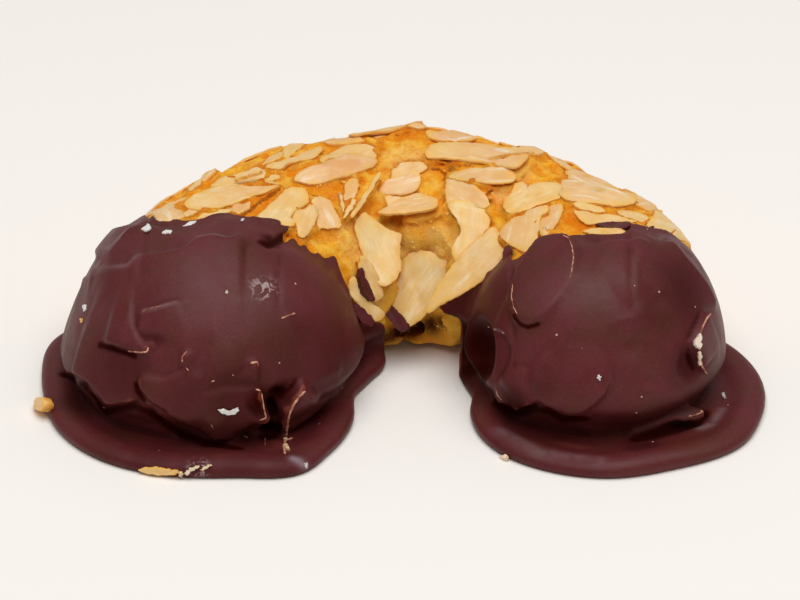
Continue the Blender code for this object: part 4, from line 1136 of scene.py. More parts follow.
def rest_on(lying, block, field, share):
    """Lifts the flake along its facing until the given share of it, in percent, is outside the field."""
    u = (lying.outline[:, 0:1] * REST_RINGS).ravel()
    v = (lying.outline[:, 1:2] * REST_RINGS).ravel()
    inside = -block.sample(field, lying.place(u, v, np.full(len(u), -lying.thick / 2)))
    lying.lift(np.percentile(inside, share) - REST_SINK)


def lay_flake(flake, index, block, field, smooth):
    """A flake laid on the field where its record says."""
    middle = np.array([flake.x, flake.y, flake.z])
    facing = block.lean(smooth, [middle], FLAKE_FACING)[0]
    heading = math.radians(flake.heading)
    outline = almond_outline(flake.length, flake.width, flake.cuts, index)
    lying = Lying(middle, (math.cos(heading), math.sin(heading), 0), facing, outline, flake, index)
    settle(lying, block, field, smooth, REST_SHARE)
    lying.lift(flake.lift)
    lying.turn(math.radians(flake.tilt), math.radians(flake.roll))
    return lying


def seen_on_plane(outline, middle, facing, height=0.0):
    """Where the camera sees the points of a photo outline on a plane, or at a height above it."""
    rays = pixel_rays(rounded_outline(outline))
    away = np.linalg.norm(middle - CAMERA_AT)
    reach = ((middle - CAMERA_AT).dot(facing) + height) / np.minimum(rays @ facing, -GRAZING)
    return CAMERA_AT + np.clip(reach, away - FARTHEST_ASIDE, away + FARTHEST_ASIDE)[:, None] * rays


def fit_outline(lying, outline):
    """Gives a flake the outline that makes the camera see it where the photo has it, though it curves."""
    height = 0.0
    for _ in range(3):
        off = seen_on_plane(outline, lying.middle, lying.w, height) - lying.middle
        u, v = off @ lying.u, off @ lying.v
        height = np.clip(lying.curve_u * u * u + lying.curve_v * v * v, -HIGHEST_CURVE, HIGHEST_CURVE)
    after_u, after_v = np.roll(u, -1), np.roll(v, -1)
    order = 1 if np.sum(u * after_v - after_u * v) > 0 else -1
    wander = np.random.default_rng(lying.index).uniform(-RAGGED, RAGGED, (2, len(u)))
    if min(np.ptp(u), np.ptp(v)) < SMALL_BIT / 2:
        wander = BIT_RAGGED * sum(np.roll(wander, shift, axis=1) for shift in range(4))
    lying.outline = (np.stack([u, v]) + wander).T[::order]


def trace_flake(traced, index, block, field, smooth, share):
    """A flake with the outline that the photo shows, on the surface that lies there."""
    centre = rounded_outline(traced.outline).mean(axis=0)
    middle = on_surface(block, smooth, [centre])[0]
    back = -pixel_rays([centre])[0]
    given = np.array(traced.facing) if traced.facing else block.lean(smooth, [middle], FLAKE_FACING)[0]
    facing = unit(given)
    facing = unit(facing + back * max(LEAST_FACING - facing.dot(back), 0))
    corners = seen_on_plane(traced.outline, middle + facing * traced.stand, facing)
    middle = corners.mean(axis=0)
    off = corners - middle
    along, across, _ = np.linalg.svd(off, full_matrices=False)[2]
    length, width = 2 * np.abs(off @ along).max(), 2 * np.abs(off @ across).max()
    record = Flake(0, 0, 0, 0, length, width, tone=traced.tone, toast=traced.toast)
    lying = Lying(middle, along, facing, None, record, index)
    fit_outline(lying, traced.outline)
    lying.thick *= traced.thick
    if not traced.facing and length > SMALL_BIT:
        settle(lying, block, field, smooth, share)
        lying.lift(traced.stand)
        lying.face(lying.w + np.array(traced.lean), lying.u)
    elif not traced.facing:
        lying.middle = lying.middle + lying.w * BIT_LIFT * lying.thick
    lying.curve_u += traced.bow * CURVE_UNIT
    lying.curve_v += traced.cup * CURVE_UNIT
    fit_outline(lying, traced.outline)
    return lying


def drip_on(traced, host, index):
    """A drip of chocolate round a flake, with the outline that the photo shows."""
    drip = Lying(host.middle, host.u, host.w, None, host.flake, index)
    drip.curve_u, drip.curve_v = host.curve_u, host.curve_v
    fit_outline(drip, traced.outline)
    drip.thick = DRIP_THICK
    return drip


def dip_line_y(x, z):
    """How far back the chocolate reaches at a place across the horn and a height."""
    dip = LEFT_DIP if x < BEND_X else RIGHT_DIP
    share = min(max((z - DIP_LOW_Z) / (DIP_HIGH_Z - DIP_LOW_Z), 0), 1)
    return float(smooth_value(dip.low, x) * (1 - share) + smooth_value(dip.high, x) * share)


def is_bare(spot, length, taken):
    """Whether a filler flake may lie at a place: not low down, in the fold, near others or on chocolate."""
    x, y, z = spot
    if z < FILLER_LOWEST or (abs(x - BEND_X) < KEPT_FREE_X and y < KEPT_FREE_Y and z < KEPT_FREE_Z):
        return False
    if min(np.linalg.norm(spot - t) for t in taken) < BARE_AFTER:
        return False
    return y >= dip_line_y(x, z) + FILLER_BEHIND * length + 1


def filler_flakes(block, field, smooth, points, laid, pile_up):
    """More flakes over the back and the sides, where the shown ones leave the dough bare."""
    draw = random.Random(FILLER_SEED)
    taken = [l.middle for l in laid]
    added = []
    for attempt in range(FILLER_TRIES):
        if len(added) >= FILLER_COUNT:
            break
        spot = np.array(points[draw.randrange(len(points))])
        length = draw.uniform(*FILLER_LENGTH)
        heading = draw.uniform(0, 360)
        if not is_bare(spot, length, taken):
            continue
        facing = block.lean(smooth, [spot], FLAKE_FACING)[0]
        if facing.dot(CAMERA_SIDE) > FILLER_HIDDEN:
            continue
        cuts = ((draw.uniform(-180, 180), draw.uniform(*BREAK_SHARE)),) if draw.random() < 0.5 else ()
        flake = Flake(*spot, heading, length, length * draw.uniform(*FILLER_NARROW),
                      draw.uniform(*FILLER_LIFT), draw.gauss(0, FILLER_TILT), draw.gauss(0, FILLER_ROLL),
                      (draw.random(), draw.random()), draw.uniform(*FILLER_TOAST), cuts)
        lying = lay_flake(flake, FIRST_FILLER + attempt, block, field, smooth)
        if lying.middle[2] < FILLER_LOWEST - 1:
            continue
        pile_up(lying)
        taken.append(spot)
        added.append(lying)
    return added


# Meshes


def mesh_piece(name, vertices, faces, material, attributes=(), sharp_deg=None):
    """A piece of the object from millimetre points and faces, riding on the one body."""
    low, high = np.array(CAD_BOX[0]) / MM, np.array(CAD_BOX[1]) / MM
    vertices = np.clip(vertices, low, high) * MM
    mesh = bpy.data.meshes.new(name)
    mesh.from_pydata(vertices.tolist(), [], faces if isinstance(faces, list) else faces.tolist())
    for label, values in attributes:
        values = np.asarray(values, dtype=np.float32)
        kind = "FLOAT_VECTOR" if values.ndim == 2 else "FLOAT"
        layer = mesh.attributes.new(label, kind, "POINT")
        layer.data.foreach_set("vector" if values.ndim == 2 else "value", values.ravel())
    mesh.materials.append(material)
    mesh.shade_smooth()
    if sharp_deg:
        mesh.set_sharp_from_angle(angle=math.radians(sharp_deg))
    piece = bpy.data.objects.new(name, mesh)
    bpy.context.scene.collection.objects.link(piece)
    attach(piece, "root")
    return piece


def field_mesh(block, field):
    """Points and faces of the field's surface."""
    grid = openvdb.FloatGrid(FAR)
    grid.copyFromArray(kept_near(field).astype(np.float32))
    points, quads = grid.convertToQuads(isovalue=0.0)
    return points * block.step + block.low, quads[:, ::-1]


def ripples(u, v, phases):
    """Small random waves of a flake's surface, in mm."""
    broad = 0.09 * np.sin(u * 0.9 + phases[0]) * np.sin(v * 1.1 + phases[1])
    return broad + 0.05 * np.sin(u * 1.9 - v * 1.3 + phases[2])


def flake_mesh(lying):
    """Points, faces and shader values of one thin curved flake."""
    count = len(lying.outline)
    half = lying.thick / 2
    draw = random.Random(lying.index)
    phases = [draw.uniform(0, WHOLE_TURN) for _ in range(4)]
    over = [(scale, half * (RIM_THIN if scale == 1.0 else 1.0)) for scale in FLAKE_RINGS]
    levels = over + [(scale, -height) for scale, height in reversed(over)]
    u, v, w, rim = [], [], [], []
    middle = lying.outline.mean(axis=0)
    for scale, height in levels:
        ou, ov = (middle + (lying.outline - middle) * scale).T
        u.append(ou)
        v.append(ov)
        w.append(height + ripples(ou, ov, phases))
        rim.append(np.full(count, scale))
    u, v, w, rim = (np.concatenate(part) for part in (u, v, w, rim))
    ends = lying.place(np.full(2, middle[0]), np.full(2, middle[1]), np.array([half, -half]))
    points = np.vstack([lying.place(u, v, w), ends])
    top, bottom = len(u), len(u) + 1
    inmost = len(FLAKE_RINGS) - 1
    nexts = [(i, (i + 1) % count) for i in range(count)]
    faces = []
    for ring in range(len(levels)):
        if ring != inmost:
            here, there = ring * count, (ring + 1) % len(levels) * count
            faces += [(here + i, there + i, there + j, here + j) for i, j in nexts]
    for i, j in nexts:
        faces.append((inmost * count + i, top, inmost * count + j))
        faces.append(((inmost + 1) * count + j, bottom, (inmost + 1) * count + i))
    rim = np.append(rim, (0, 0))
    grain = np.stack([np.append(u, (0, 0)) + GRAIN_APART * draw.random(), np.append(v, (0, 0)),
                      np.append(w, (half, -half)) + GRAIN_APART * draw.random()], axis=1)
    left, right = points[:, 0].min(), points[:, 0].max()
    tone = np.interp(points[:, 0], (left, right), lying.flake.tone)
    toast = np.full(len(points), lying.flake.toast)
    return points, faces, rim, grain, tone, toast


def joined_flakes(name, flakes, material):
    """All flakes as one piece."""
    vertices, faces, layers, start = [], [], [], 0
    for lying in flakes:
        points, made, *values = flake_mesh(lying)
        vertices.append(points)
        faces += [tuple(k + start for k in face) for face in made]
        layers.append(values)
        start += len(points)
    named = [(label, np.concatenate([layer[k] for layer in layers]))
             for k, label in enumerate(("rim", "grain", "tone", "toast"))]
    return mesh_piece(name, np.vstack(vertices), faces, material, named, sharp_deg=FLAKE_SHARP)


# Materials


class Nodes:
    """Short way to build a shader."""

    def __init__(self, name):
        """A new material, to add nodes to."""
        self.material = bpy.data.materials.new(name)
        self.material.use_nodes = True
        self.tree = self.material.node_tree
        self.shader = self.tree.nodes["Principled BSDF"]

    def feed(self, socket, value):
        """Sets a socket to a value, or links another node's socket to it."""
        if isinstance(value, bpy.types.NodeSocket):
            self.tree.links.new(value, socket)
        else:
            socket.default_value = value

    def add(self, kind, inputs=(), **settings):
        """A node with settings, and inputs given by name or number as values or as other nodes' sockets."""
        node = self.tree.nodes.new(kind)
        for key, value in settings.items():
            setattr(node, key, value)
        for key, value in dict(inputs).items():
            self.feed(node.inputs[key], value)
        return node

    def position(self):
        """Places in millimetres."""
        place = self.add("ShaderNodeTexCoord").outputs["Object"]
        return self.add("ShaderNodeVectorMath", {0: place, 3: 1 / MM}, operation="SCALE").outputs[0]

    def noise(self, vector, size, detail=3.0, roughness=0.55):
        """Noise with features of a size in millimetres."""
        inputs = {"Vector": vector, "Scale": 1 / size, "Detail": detail, "Roughness": roughness}
        return self.add("ShaderNodeTexNoise", inputs).outputs["Fac"]

    def value(self, label):
        """A value kept on the mesh's points."""
        return self.add("ShaderNodeAttribute", attribute_name=label).outputs["Fac"]

    def ramp(self, factor, low, high, start=0.0, end=1.0, smooth=True):
        """A factor moved from the range low to high into the range start to end."""
        inputs = {0: factor, 1: low, 2: high, 3: start, 4: end}
        kind = "SMOOTHSTEP" if smooth else "LINEAR"
        return self.add("ShaderNodeMapRange", inputs, interpolation_type=kind).outputs[0]

    def patches(self, vector, size, detail, roughness, low, high):
        """Soft patches of noise, 0 where it is below low and 1 where it is above high."""
        return self.ramp(self.noise(vector, size, detail, roughness), low, high)

    def math(self, operation, a, b=0.0):
        """A sum, a product or another operation on two values."""
        return self.add("ShaderNodeMath", {0: a, 1: b}, operation=operation).outputs[0]

    def times(self, value, *factors):
        """The product of all values."""
        for factor in factors:
            value = self.math("MULTIPLY", value, factor)
        return value

    def mix(self, factor, a, b):
        """Mixes two colours, given as tuples or sockets."""
        a, b = ((*c, 1) if isinstance(c, tuple) else c for c in (a, b))
        return self.add("ShaderNodeMix", {0: factor, 6: a, 7: b}, data_type="RGBA").outputs[2]

    def cover(self, colour, other, *factors):
        """A colour covered by another as far as the product of the factors says."""
        return self.mix(self.times(*factors), colour, other)

    def bump(self, height, strength, distance, normal=None):
        """A normal bumped by a height, with the distance in millimetres."""
        inputs = {"Height": height, "Strength": strength, "Distance": distance * MM}
        if normal:
            inputs["Normal"] = normal
        return self.add("ShaderNodeBump", inputs).outputs[0]

    def finish(self, **sockets):
        """Sets or links the shader's sockets and returns the material."""
        names = {"colour": "Base Color", "roughness": "Roughness", "normal": "Normal", "ior": "IOR",
                 "sss": "Subsurface Weight", "sss_radius": "Subsurface Radius",
                 "sss_scale": "Subsurface Scale", "specular": "Specular IOR Level", "tint": "Specular Tint"}
        for key, value in sockets.items():
            self.feed(self.shader.inputs[names[key]], value)
        return self.material


def chocolate_material():
    """Dark couverture: satin, faintly mottled, redder on thin edges, with a few bloom streaks and specks,
    painted shade and painted highlights.
    """
    n = Nodes("dark_chocolate")
    place = n.position()
    edge, bloom = n.value("edge"), n.value("bloom")
    # painted shade: hollows of the relief, and the shaded spots, crevices and low parts
    dark = n.math("MAXIMUM", n.value("hollow"), n.value("shade"))
    grain = n.noise(place, 0.45, 4, 0.7)
    colour = n.mix(n.patches(place, 7.0, 4, 0.55, 0.35, 0.68), CHOCOLATE, CHOCOLATE_LIGHTER)
    colour = n.cover(colour, CHOCOLATE_WARM, n.patches(place, 9.0, 5, 0.6, 0.42, 0.62), 0.7)
    colour = n.cover(colour, CHOCOLATE_PLUM, n.patches(place, 5.0, 4, 0.6, 0.52, 0.68), 0.4)
    colour = n.cover(colour, CHOCOLATE_DARK_GRAIN, n.ramp(grain, 0.50, 0.72, 0.0, 0.4))
    colour = n.cover(colour, CHOCOLATE_PALE_GRAIN, n.ramp(grain, 0.46, 0.30, 0.0, 0.35))
    # painted shade, nearly black where it is deepest
    colour = n.cover(colour, CHOCOLATE_HOLLOW_SHADE, dark)
    colour = n.cover(colour, CHOCOLATE_THIN, n.ramp(edge, 0.42, 0.9), 0.5)
    # worn edges, paler in patches as a painted highlight
    worn_highlit_patches = n.times(n.patches(place, 1.1, 3, 0.55, 0.36, 0.62), n.patches(place, 6.0, 2, 0.55, 0.45, 0.6))
    colour = n.cover(colour, CHOCOLATE_WORN_HIGHLIT, n.ramp(edge, 0.8, 1.0), n.times(worn_highlit_patches, 0.2))
    streak = n.add("ShaderNodeTexNoise", {"Vector": place, "Scale": 0.75, "Detail": 4.0, "Distortion": 1.2})
    haze = n.times(bloom, n.ramp(streak.outputs["Fac"], 0.50, 0.60))
    colour = n.cover(colour, BLOOMED, haze)
    broken = n.ramp(n.noise(place, 2.5, 3), 0.3, 0.6, 0.4, 1.0)
    # painted highlight: streaks of sheen, broken up by noise
    colour = n.cover(colour, PAINTED_SHEEN, n.value("painted_gleam"), broken)
    cells = n.add("ShaderNodeTexVoronoi", {"Vector": place, "Scale": SPECK_SCALE, "Randomness": 1.0})
    chance = n.add("ShaderNodeSeparateColor", {0: cells.outputs["Color"]})
    size = n.ramp(chance.outputs[1], 0.0, 1.0, *SPECK_SIZES)
    dot = n.math("LESS_THAN", cells.outputs["Distance"], size)
    colour = n.cover(colour, SPECK, dot, n.ramp(chance.outputs[0], *SPECK_CHANCE))
    rough = n.ramp(n.noise(place, 3.5, 4), 0.3, 0.7, 0.40, 0.54, smooth=False)
    rough = n.math("ADD", rough, n.times(n.math("MAXIMUM", haze, dark), 0.3))
    normal = n.bump(n.noise(place, 0.55, 3), 0.22, 0.14)
    normal = n.bump(n.noise(place, 2.6, 2), 0.25, 0.25, normal)
    # painted shade also takes the reflection away there
    tint = n.mix(dark, (1.0, 1.0, 1.0), HOLLOW_SHADE_TINT)
    return n.finish(colour=colour, roughness=rough, normal=normal, ior=1.5, specular=0.26, tint=tint)


def worn_highlit_edge_material():
    """Thin chocolate along an edge, paler as a painted highlight where it catches the light."""
    n = Nodes("worn_highlit_edge")
    place = n.position()
    # thin chocolate, pale as a painted highlight
    colour = n.mix(n.patches(place, 1.2, 3, 0.55, 0.35, 0.65), WORN_HIGHLIT_DARK, WORN_HIGHLIT_PALE)
    fine = n.noise(place, 0.3, 2)
    rough = n.ramp(fine, 0.3, 0.7, 0.35, 0.5, smooth=False)
    return n.finish(colour=colour, roughness=rough, normal=n.bump(fine, 0.3, 0.05), specular=0.4)


def dough_material():
    """Baked marzipan dough: golden crumb, orange where it browned, paler in the fold, painted shade in
    crevices.
    """
    n = Nodes("baked_dough")
    place = n.position()
    bake = n.value("bake")
    grit = n.noise(place, 0.6, 5, 0.75)
    colour = n.mix(n.patches(place, 1.5, 5, 0.65, 0.38, 0.62), DOUGH, DOUGH_CRUMB)
    browned = n.times(n.patches(place, 4.0, 4, 0.6, 0.46, 0.60), bake)
    colour = n.cover(colour, DOUGH_BROWN, browned, 0.8)
    dark = n.times(n.patches(place, 2.4, 5, 0.7, 0.60, 0.72), bake)
    colour = n.cover(colour, DOUGH_DARK, dark, 0.6)
    pale = n.times(n.patches(place, 3.1, 3, 0.55, 0.52, 0.7), n.ramp(bake, 0.2, 0.9, 1.0, 0.4))
    colour = n.cover(colour, DOUGH_PALE, pale, 0.8)
    colour = n.cover(colour, DOUGH_EDGE, n.value("edge"), 0.35)
    colour = n.cover(colour, DOUGH_FOLD, n.ramp(bake, 0.05, 0.45, 0.6, 0.0))
    # painted shade in hollows of the crust
    colour = n.cover(colour, DOUGH_HOLLOW_SHADE, n.value("hollow"), 0.7)
    patchy = n.ramp(n.noise(place, 1.2, 5, 0.7), 0.36, 0.58, 0.35, 1.0)
    # toasted crumb, partly painted shade where flakes cast it
    colour = n.cover(colour, DOUGH_TOASTED_AND_SHADED, n.value("toasted_and_shaded"), patchy)
    colour = n.cover(colour, DOUGH_CREAM, n.value("pale"), patchy)
    ragged = n.ramp(n.noise(place, 1.6, 4, 0.65), 0.34, 0.56, 0.15, 1.0)
    # browned sugar beside the flakes, with painted contact shade
    colour = n.cover(colour, DOUGH_CARAMEL_AND_SHADE, n.value("close"), ragged, n.ramp(bake, 0.0, 0.5, 0.45, 0.90))
    # painted shade in cracks of the crust
    wander = n.times(n.noise(place, 1.1, 4, 0.7), 0.6)
    split = n.ramp(n.math("ADD", n.value("crack_shade"), wander), 1.06, 1.26)
    colour = n.cover(colour, DOUGH_CRACK_SHADE, split, 0.85)
    # painted deep shade in the dark cavity of the fold and under flakes
    colour = n.cover(colour, DOUGH_DEEP_SHADE, n.value("deep_shade"))
    colour = n.cover(colour, GRIT_PALE, n.ramp(grit, 0.53, 0.68, 0.0, 0.5))
    colour = n.cover(colour, GRIT_DARK, n.ramp(grit, 0.45, 0.30, 0.0, 0.5))
    normal = n.bump(grit, 0.7, 0.4)
    normal = n.bump(n.noise(place, 1.6, 4, 0.65), 0.5, 0.6, normal)
    rough = n.ramp(grit, 0.3, 0.7, 0.5, 0.75, smooth=False)
    return n.finish(colour=colour, roughness=rough, normal=normal, sss=0.25, sss_radius=(1.0, 0.5, 0.15),
                    sss_scale=0.0016, specular=0.06)


def flake_material():
    """Sliced almond: cream to pinkish tan, with faint fibres, toasted spots and a browner rim."""
    n = Nodes("almond_flake")
    grain = n.add("ShaderNodeAttribute", attribute_name="grain").outputs["Vector"]
    rim, tone, toast = n.value("rim"), n.value("tone"), n.value("toast")
    stretched = n.add("ShaderNodeMapping", {"Vector": grain, "Scale": FIBRE_STRETCH}).outputs[0]
    fibres = n.noise(stretched, 1.0, 5, 0.65)
    cream = n.mix(n.patches(grain, 5.0, 3, 0.55, 0.35, 0.65), CREAM, CREAM_PALE)
    pink = n.mix(n.patches(grain, 4.0, 3, 0.55, 0.35, 0.65), TAN, TAN_PALE)
    colour = n.mix(tone, cream, pink)
    colour = n.cover(colour, FIBRE, n.ramp(fibres, 0.42, 0.60), 0.35)
    golden = n.times(n.patches(grain, 3.6, 4, 0.6, 0.48, 0.64), toast)
    colour = n.cover(colour, GOLDEN, golden, 0.85)
    white = n.patches(stretched, 2.2, 4, 0.6, 0.54, 0.72)
    colour = n.cover(colour, ALMOND_WHITE, white, n.ramp(tone, 0.0, 0.5, 0.35, 0.75))
    near_rim = n.ramp(n.math("ADD", rim, n.times(n.noise(grain, 3.0, 3), 0.75)), 1.06, 1.42)
    colour = n.cover(colour, RIM_BROWN, near_rim, n.ramp(toast, 0.0, 1.0, 0.65, 1.0, smooth=False))
    seam = n.ramp(n.math("ADD", rim, n.times(n.noise(grain, 1.2, 2), 0.4)), 1.12, 1.24)
    colour = n.cover(colour, RIM_SEAM, seam, 0.8, n.ramp(toast, 0.0, 1.0, 0.3, 1.0))
    colour = n.cover(colour, BIT_WHITE, n.ramp(tone, -1.0, 0.0, 1.0, 0.0, smooth=False))
    glassy = n.ramp(n.noise(n.position(), 9.0, 2), 0.3, 0.7, 0.36, 0.52, smooth=False)
    normal = n.bump(fibres, 0.35, 0.12)
    normal = n.bump(n.noise(grain, 2.2, 3), 0.3, 0.3, normal)
    return n.finish(colour=colour, roughness=glassy, normal=normal, sss=0.22,
                    sss_radius=(1.0, 0.65, 0.35), sss_scale=0.0012, specular=0.45)


def crumb_material():
    """Loose crumbs, from pale almond to golden crust."""
    n = Nodes("crumb")
    grain = n.noise(n.position(), 0.4, 3)
    colour = n.mix(n.value("tone"), CRUMB, CRUMB_GOLDEN)
    colour = n.cover(colour, CRUMB_PALE, grain, 0.4)
    rough = n.ramp(grain, 0.3, 0.7, 0.45, 0.7, smooth=False)
    return n.finish(colour=colour, roughness=rough, normal=n.bump(grain, 0.5, 0.15), sss=0.3,
                    sss_radius=(1.0, 0.6, 0.3), sss_scale=0.001, specular=0.25)


# The dough


def dough_field(block):
    """The roll with its crumbly crust and flat underside, and how far the crust stands out at each place."""
    even = roll_distance(block)
    coarse, middle, fine = (waves(block, size, seed) for seed, size in enumerate(CRUST_WAVES, 1))
    away = np.hypot(block.x - FOLD_X, block.y - FOLD_Y) / FOLD_REACH
    crumbly = 1 + FOLD_ROUGH * np.exp(-away * away)
    crumb = CRUST_MIDDLE * middle + CRUST_FINE * np.maximum(fine, CRUST_FLOOR)
    crust = CRUST_COARSE * coarse + crumb * crumbly
    cracks = np.exp(-(waves(block, SPLIT_WAVE, 4) / SPLIT_WIDTH) ** 2) * np.clip(0.5 + coarse, 0, 1)
    left, right = -dip_distance(block, LEFT_DIP), -dip_distance(block, RIGHT_DIP)
    drop = ease((np.where(block.x < BEND_X, left, right) - COVERED_FROM) / COVERED_OVER)
    field = even - crust + SPLIT_DEPTH * cracks + COVERED_DROP * drop
    for x, y, z, radius in CRAGS:
        field = smooth_min(field, ball(block, (x, y, z), radius) - CRAG_ROUGH * middle, CRAG_BLEND)
    for x, y, z, radius in PITS:
        field = smooth_max(field, -ball(block, (x, y, z), radius), PIT_BLEND)
    return smooth_max(field, base_z(block.y) - block.z, BASE_BLEND), CRUST_HELD * middle + CRUST_HELD * fine


def standing_out(block, field, points):
    """How far points stand out of the blurred field, in mm. It is less than 0 in a hollow."""
    soft = blurred(kept_near(field), RELIEF_BLUR)
    return block.sample(soft, points) - block.sample(field, points)


def make_dough(block, field, flakes, material):
    """The dough as one piece, with how baked it is on each point, browner close to the flakes with painted
    contact shade, and painted shade in its hollows and cracks.
    """
    points, faces = field_mesh(block, field)
    # browner beside the flakes, partly painted contact shade
    plates = np.full_like(field, FAR)
    for lying in flakes:
        lying.add_to(block, plates, lying.thick)
    close = np.exp(-(np.maximum(block.sample(plates, points), 0) / BROWNED_AND_SHADED) ** 2)
    # painted shade along cracks of the crust
    crack_shade = np.zeros(len(points))
    for line, strength in SHADED_CRACKS:
        beside = beside_line(points, on_surface(block, field, line))
        crack_shade = np.maximum(crack_shade, strength * np.exp(-(beside / CRACK_REACH) ** 2))
    relief = standing_out(block, field, points)
    x, y, z = points.T
    high = ease((z - BAKED_FROM_Z) / BAKED_OVER)
    fold = np.exp(-((x - PALE_X) ** 2 + (y - PALE_Y) ** 2) / PALE_REACH ** 2)
    bake = np.clip(BAKE + BAKE_HIGH * high - BAKE_FOLD * fold + BAKE_BASE * (z < BASE_Z), 0, 1)
    # painted deep shade, toasted crumb that is partly painted shade, and paler crumb
    spots = [(label, near(points, block, field, listed))
             for label, listed in (("deep_shade", DEEP_SHADE_SPOTS), ("toasted_and_shaded", TOASTED_AND_SHADED), ("pale", PALE_CRUMB))]
    values = [("edge", np.clip(relief / EDGE_RELIEF, 0, 1)),
              ("hollow", np.clip(-relief / HOLLOW_RELIEF, 0, 1)),
              ("bake", bake), *spots, ("close", close), ("crack_shade", crack_shade)]
    piece = mesh_piece("dough", points, faces, material, values)
    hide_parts("horn")


def make_crumbs(block, pile, bed, material):
    """Crumbs of dough and almond that stick to the exposed part, thickest in the fold."""
    draw = np.random.default_rng(CRUMB_SEED)
    places, _ = field_mesh(block, bed)
    places = places[(places[:, 2] > CRUMB_LOWEST) & (block.sample(pile, places) > -CRUMB_UNDER)]
    corners = len(CRUMB_CORNERS)
    points, faces, tones = [], [], []
    for _ in range(CRUMB_COUNT * 8):
        if len(tones) >= CRUMB_COUNT:
            break
        x, y, z = places[draw.integers(len(places))]
        fold = math.exp(-((x - STREWN_X) ** 2 + (y - STREWN_Y) ** 2) / STREWN_REACH ** 2)
        chance = CRUMB_CHANCE + (1 - CRUMB_CHANCE) * fold
        if draw.random() > chance or y < dip_line_y(x, z) + CRUMB_BEHIND:
            continue
        size = CRUMB_SIZES[0] + (CRUMB_SIZES[1] - CRUMB_SIZES[0]) * draw.random() ** CRUMB_SMALLER
        uneven = draw.uniform(*CRUMB_UNEVEN, (corners, 3))
        form = np.array(CRUMB_CORNERS) * uneven * draw.uniform(*CRUMB_STRETCH, 3) * size
        inward = -block.lean(bed, [(x, y, z)], CRUMB_FACING)[0]
        faces += [tuple(k + corners * len(tones) for k in side) for side in CRUMB_SIDES]
        points.append(form + (x, y, z) + CRUMB_SINK * size * inward)
        tones.append(draw.random())
    values = [("tone", np.repeat(tones, corners))]
    piece = mesh_piece("crumbs", np.vstack(points), faces, material, values, sharp_deg=CRUMB_SHARP)


# The chocolate


def carve(block, field, line, radius):
    """Takes a rounded furrow out of a field along the points of a line, narrower at both ends."""
    spans = np.linalg.norm(np.diff(line, axis=0), axis=1)
    total, gone = max(spans.sum(), LEAST_SPAN), 0.0
    for start, end, length in zip(line, line[1:], spans):
        reach = radius + FURROW_REACH
        found = block.window(np.minimum(start, end) - reach, np.maximum(start, end) + reach)
        if found:
            cut, (x, y, z) = found
            way = end - start
            span = max(float(way.dot(way)), TINY)
            share = ((x - start[0]) * way[0] + (y - start[1]) * way[1] + (z - start[2]) * way[2]) / span
            share = np.clip(share, 0, 1)
            off = np.sqrt((x - start[0] - share * way[0]) ** 2 + (y - start[1] - share * way[1]) ** 2
                          + (z - start[2] - share * way[2]) ** 2)
            along = np.clip((gone + share * length) / total, 0, 1)
            full = np.sqrt(np.maximum(np.sin(math.pi * along), 0))
            room = radius * (FURROW_END + (1 - FURROW_END) * full)
            field[cut] = smooth_max(field[cut], room - off, FURROW_BLEND)
        gone += length


def add_step(block, field, even, step):
    """Raises the field at one side of a line of the photo."""
    raised = on_surface(block, even - step.rise, step.line)
    toward = on_surface(block, even, [step.toward])[0]
    outward = block.lean(even, raised, COAT_FACING)
    line = raised - step.rise * outward
    reach = STEP_REACH * step.fade
    cut, (x, y, z) = block.window(line.min(axis=0) - reach, line.max(axis=0) + reach)
    nearest = np.full(field[cut].shape, NOWHERE, dtype=np.float32)
    beside, along = np.zeros_like(nearest), np.zeros_like(nearest)
    gone, sides = 0.0, []
    for k, (start, end) in enumerate(zip(line, line[1:])):
        way = end - start
        span = max(np.linalg.norm(way), LEAST_SPAN)
        across = np.cross(outward[k] + outward[k + 1], way)
        across /= max(np.linalg.norm(across), TINY)
        off = toward - (start + end) / 2
        sides.append((np.linalg.norm(off), off.dot(across)))
        dx, dy, dz = x - start[0], y - start[1], z - start[2]
        share = np.clip((dx * way[0] + dy * way[1] + dz * way[2]) / span ** 2, 0, 1)
        dx, dy, dz = dx - share * way[0], dy - share * way[1], dz - share * way[2]
        away = dx * dx + dy * dy + dz * dz
        off = dx * across[0] + dy * across[1] + dz * across[2]
        as_near = (away < nearest + AS_NEAR) & (np.abs(off) > np.abs(beside))
        closer = (away < nearest - AS_NEAR) | as_near
        nearest, beside = np.where(closer, away, nearest), np.where(closer, off, beside)
        along = np.where(closer, gone + share * span, along)
        gone += span
    beside = beside * np.sign(min(sides)[1])
    below = np.maximum(nearest - beside ** 2, 0)
    before = np.exp(-np.maximum(beside, 0) / step.fade)
    height = np.where(beside > 0, before, np.exp(np.minimum(beside, 0) / step.back))
    height = height * ease(along / STEP_END) * ease((gone - along) / STEP_END)
    height = height * np.exp(-below / STEP_DEEP ** 2)
    field[cut] -= (step.rise * height).astype(np.float32)


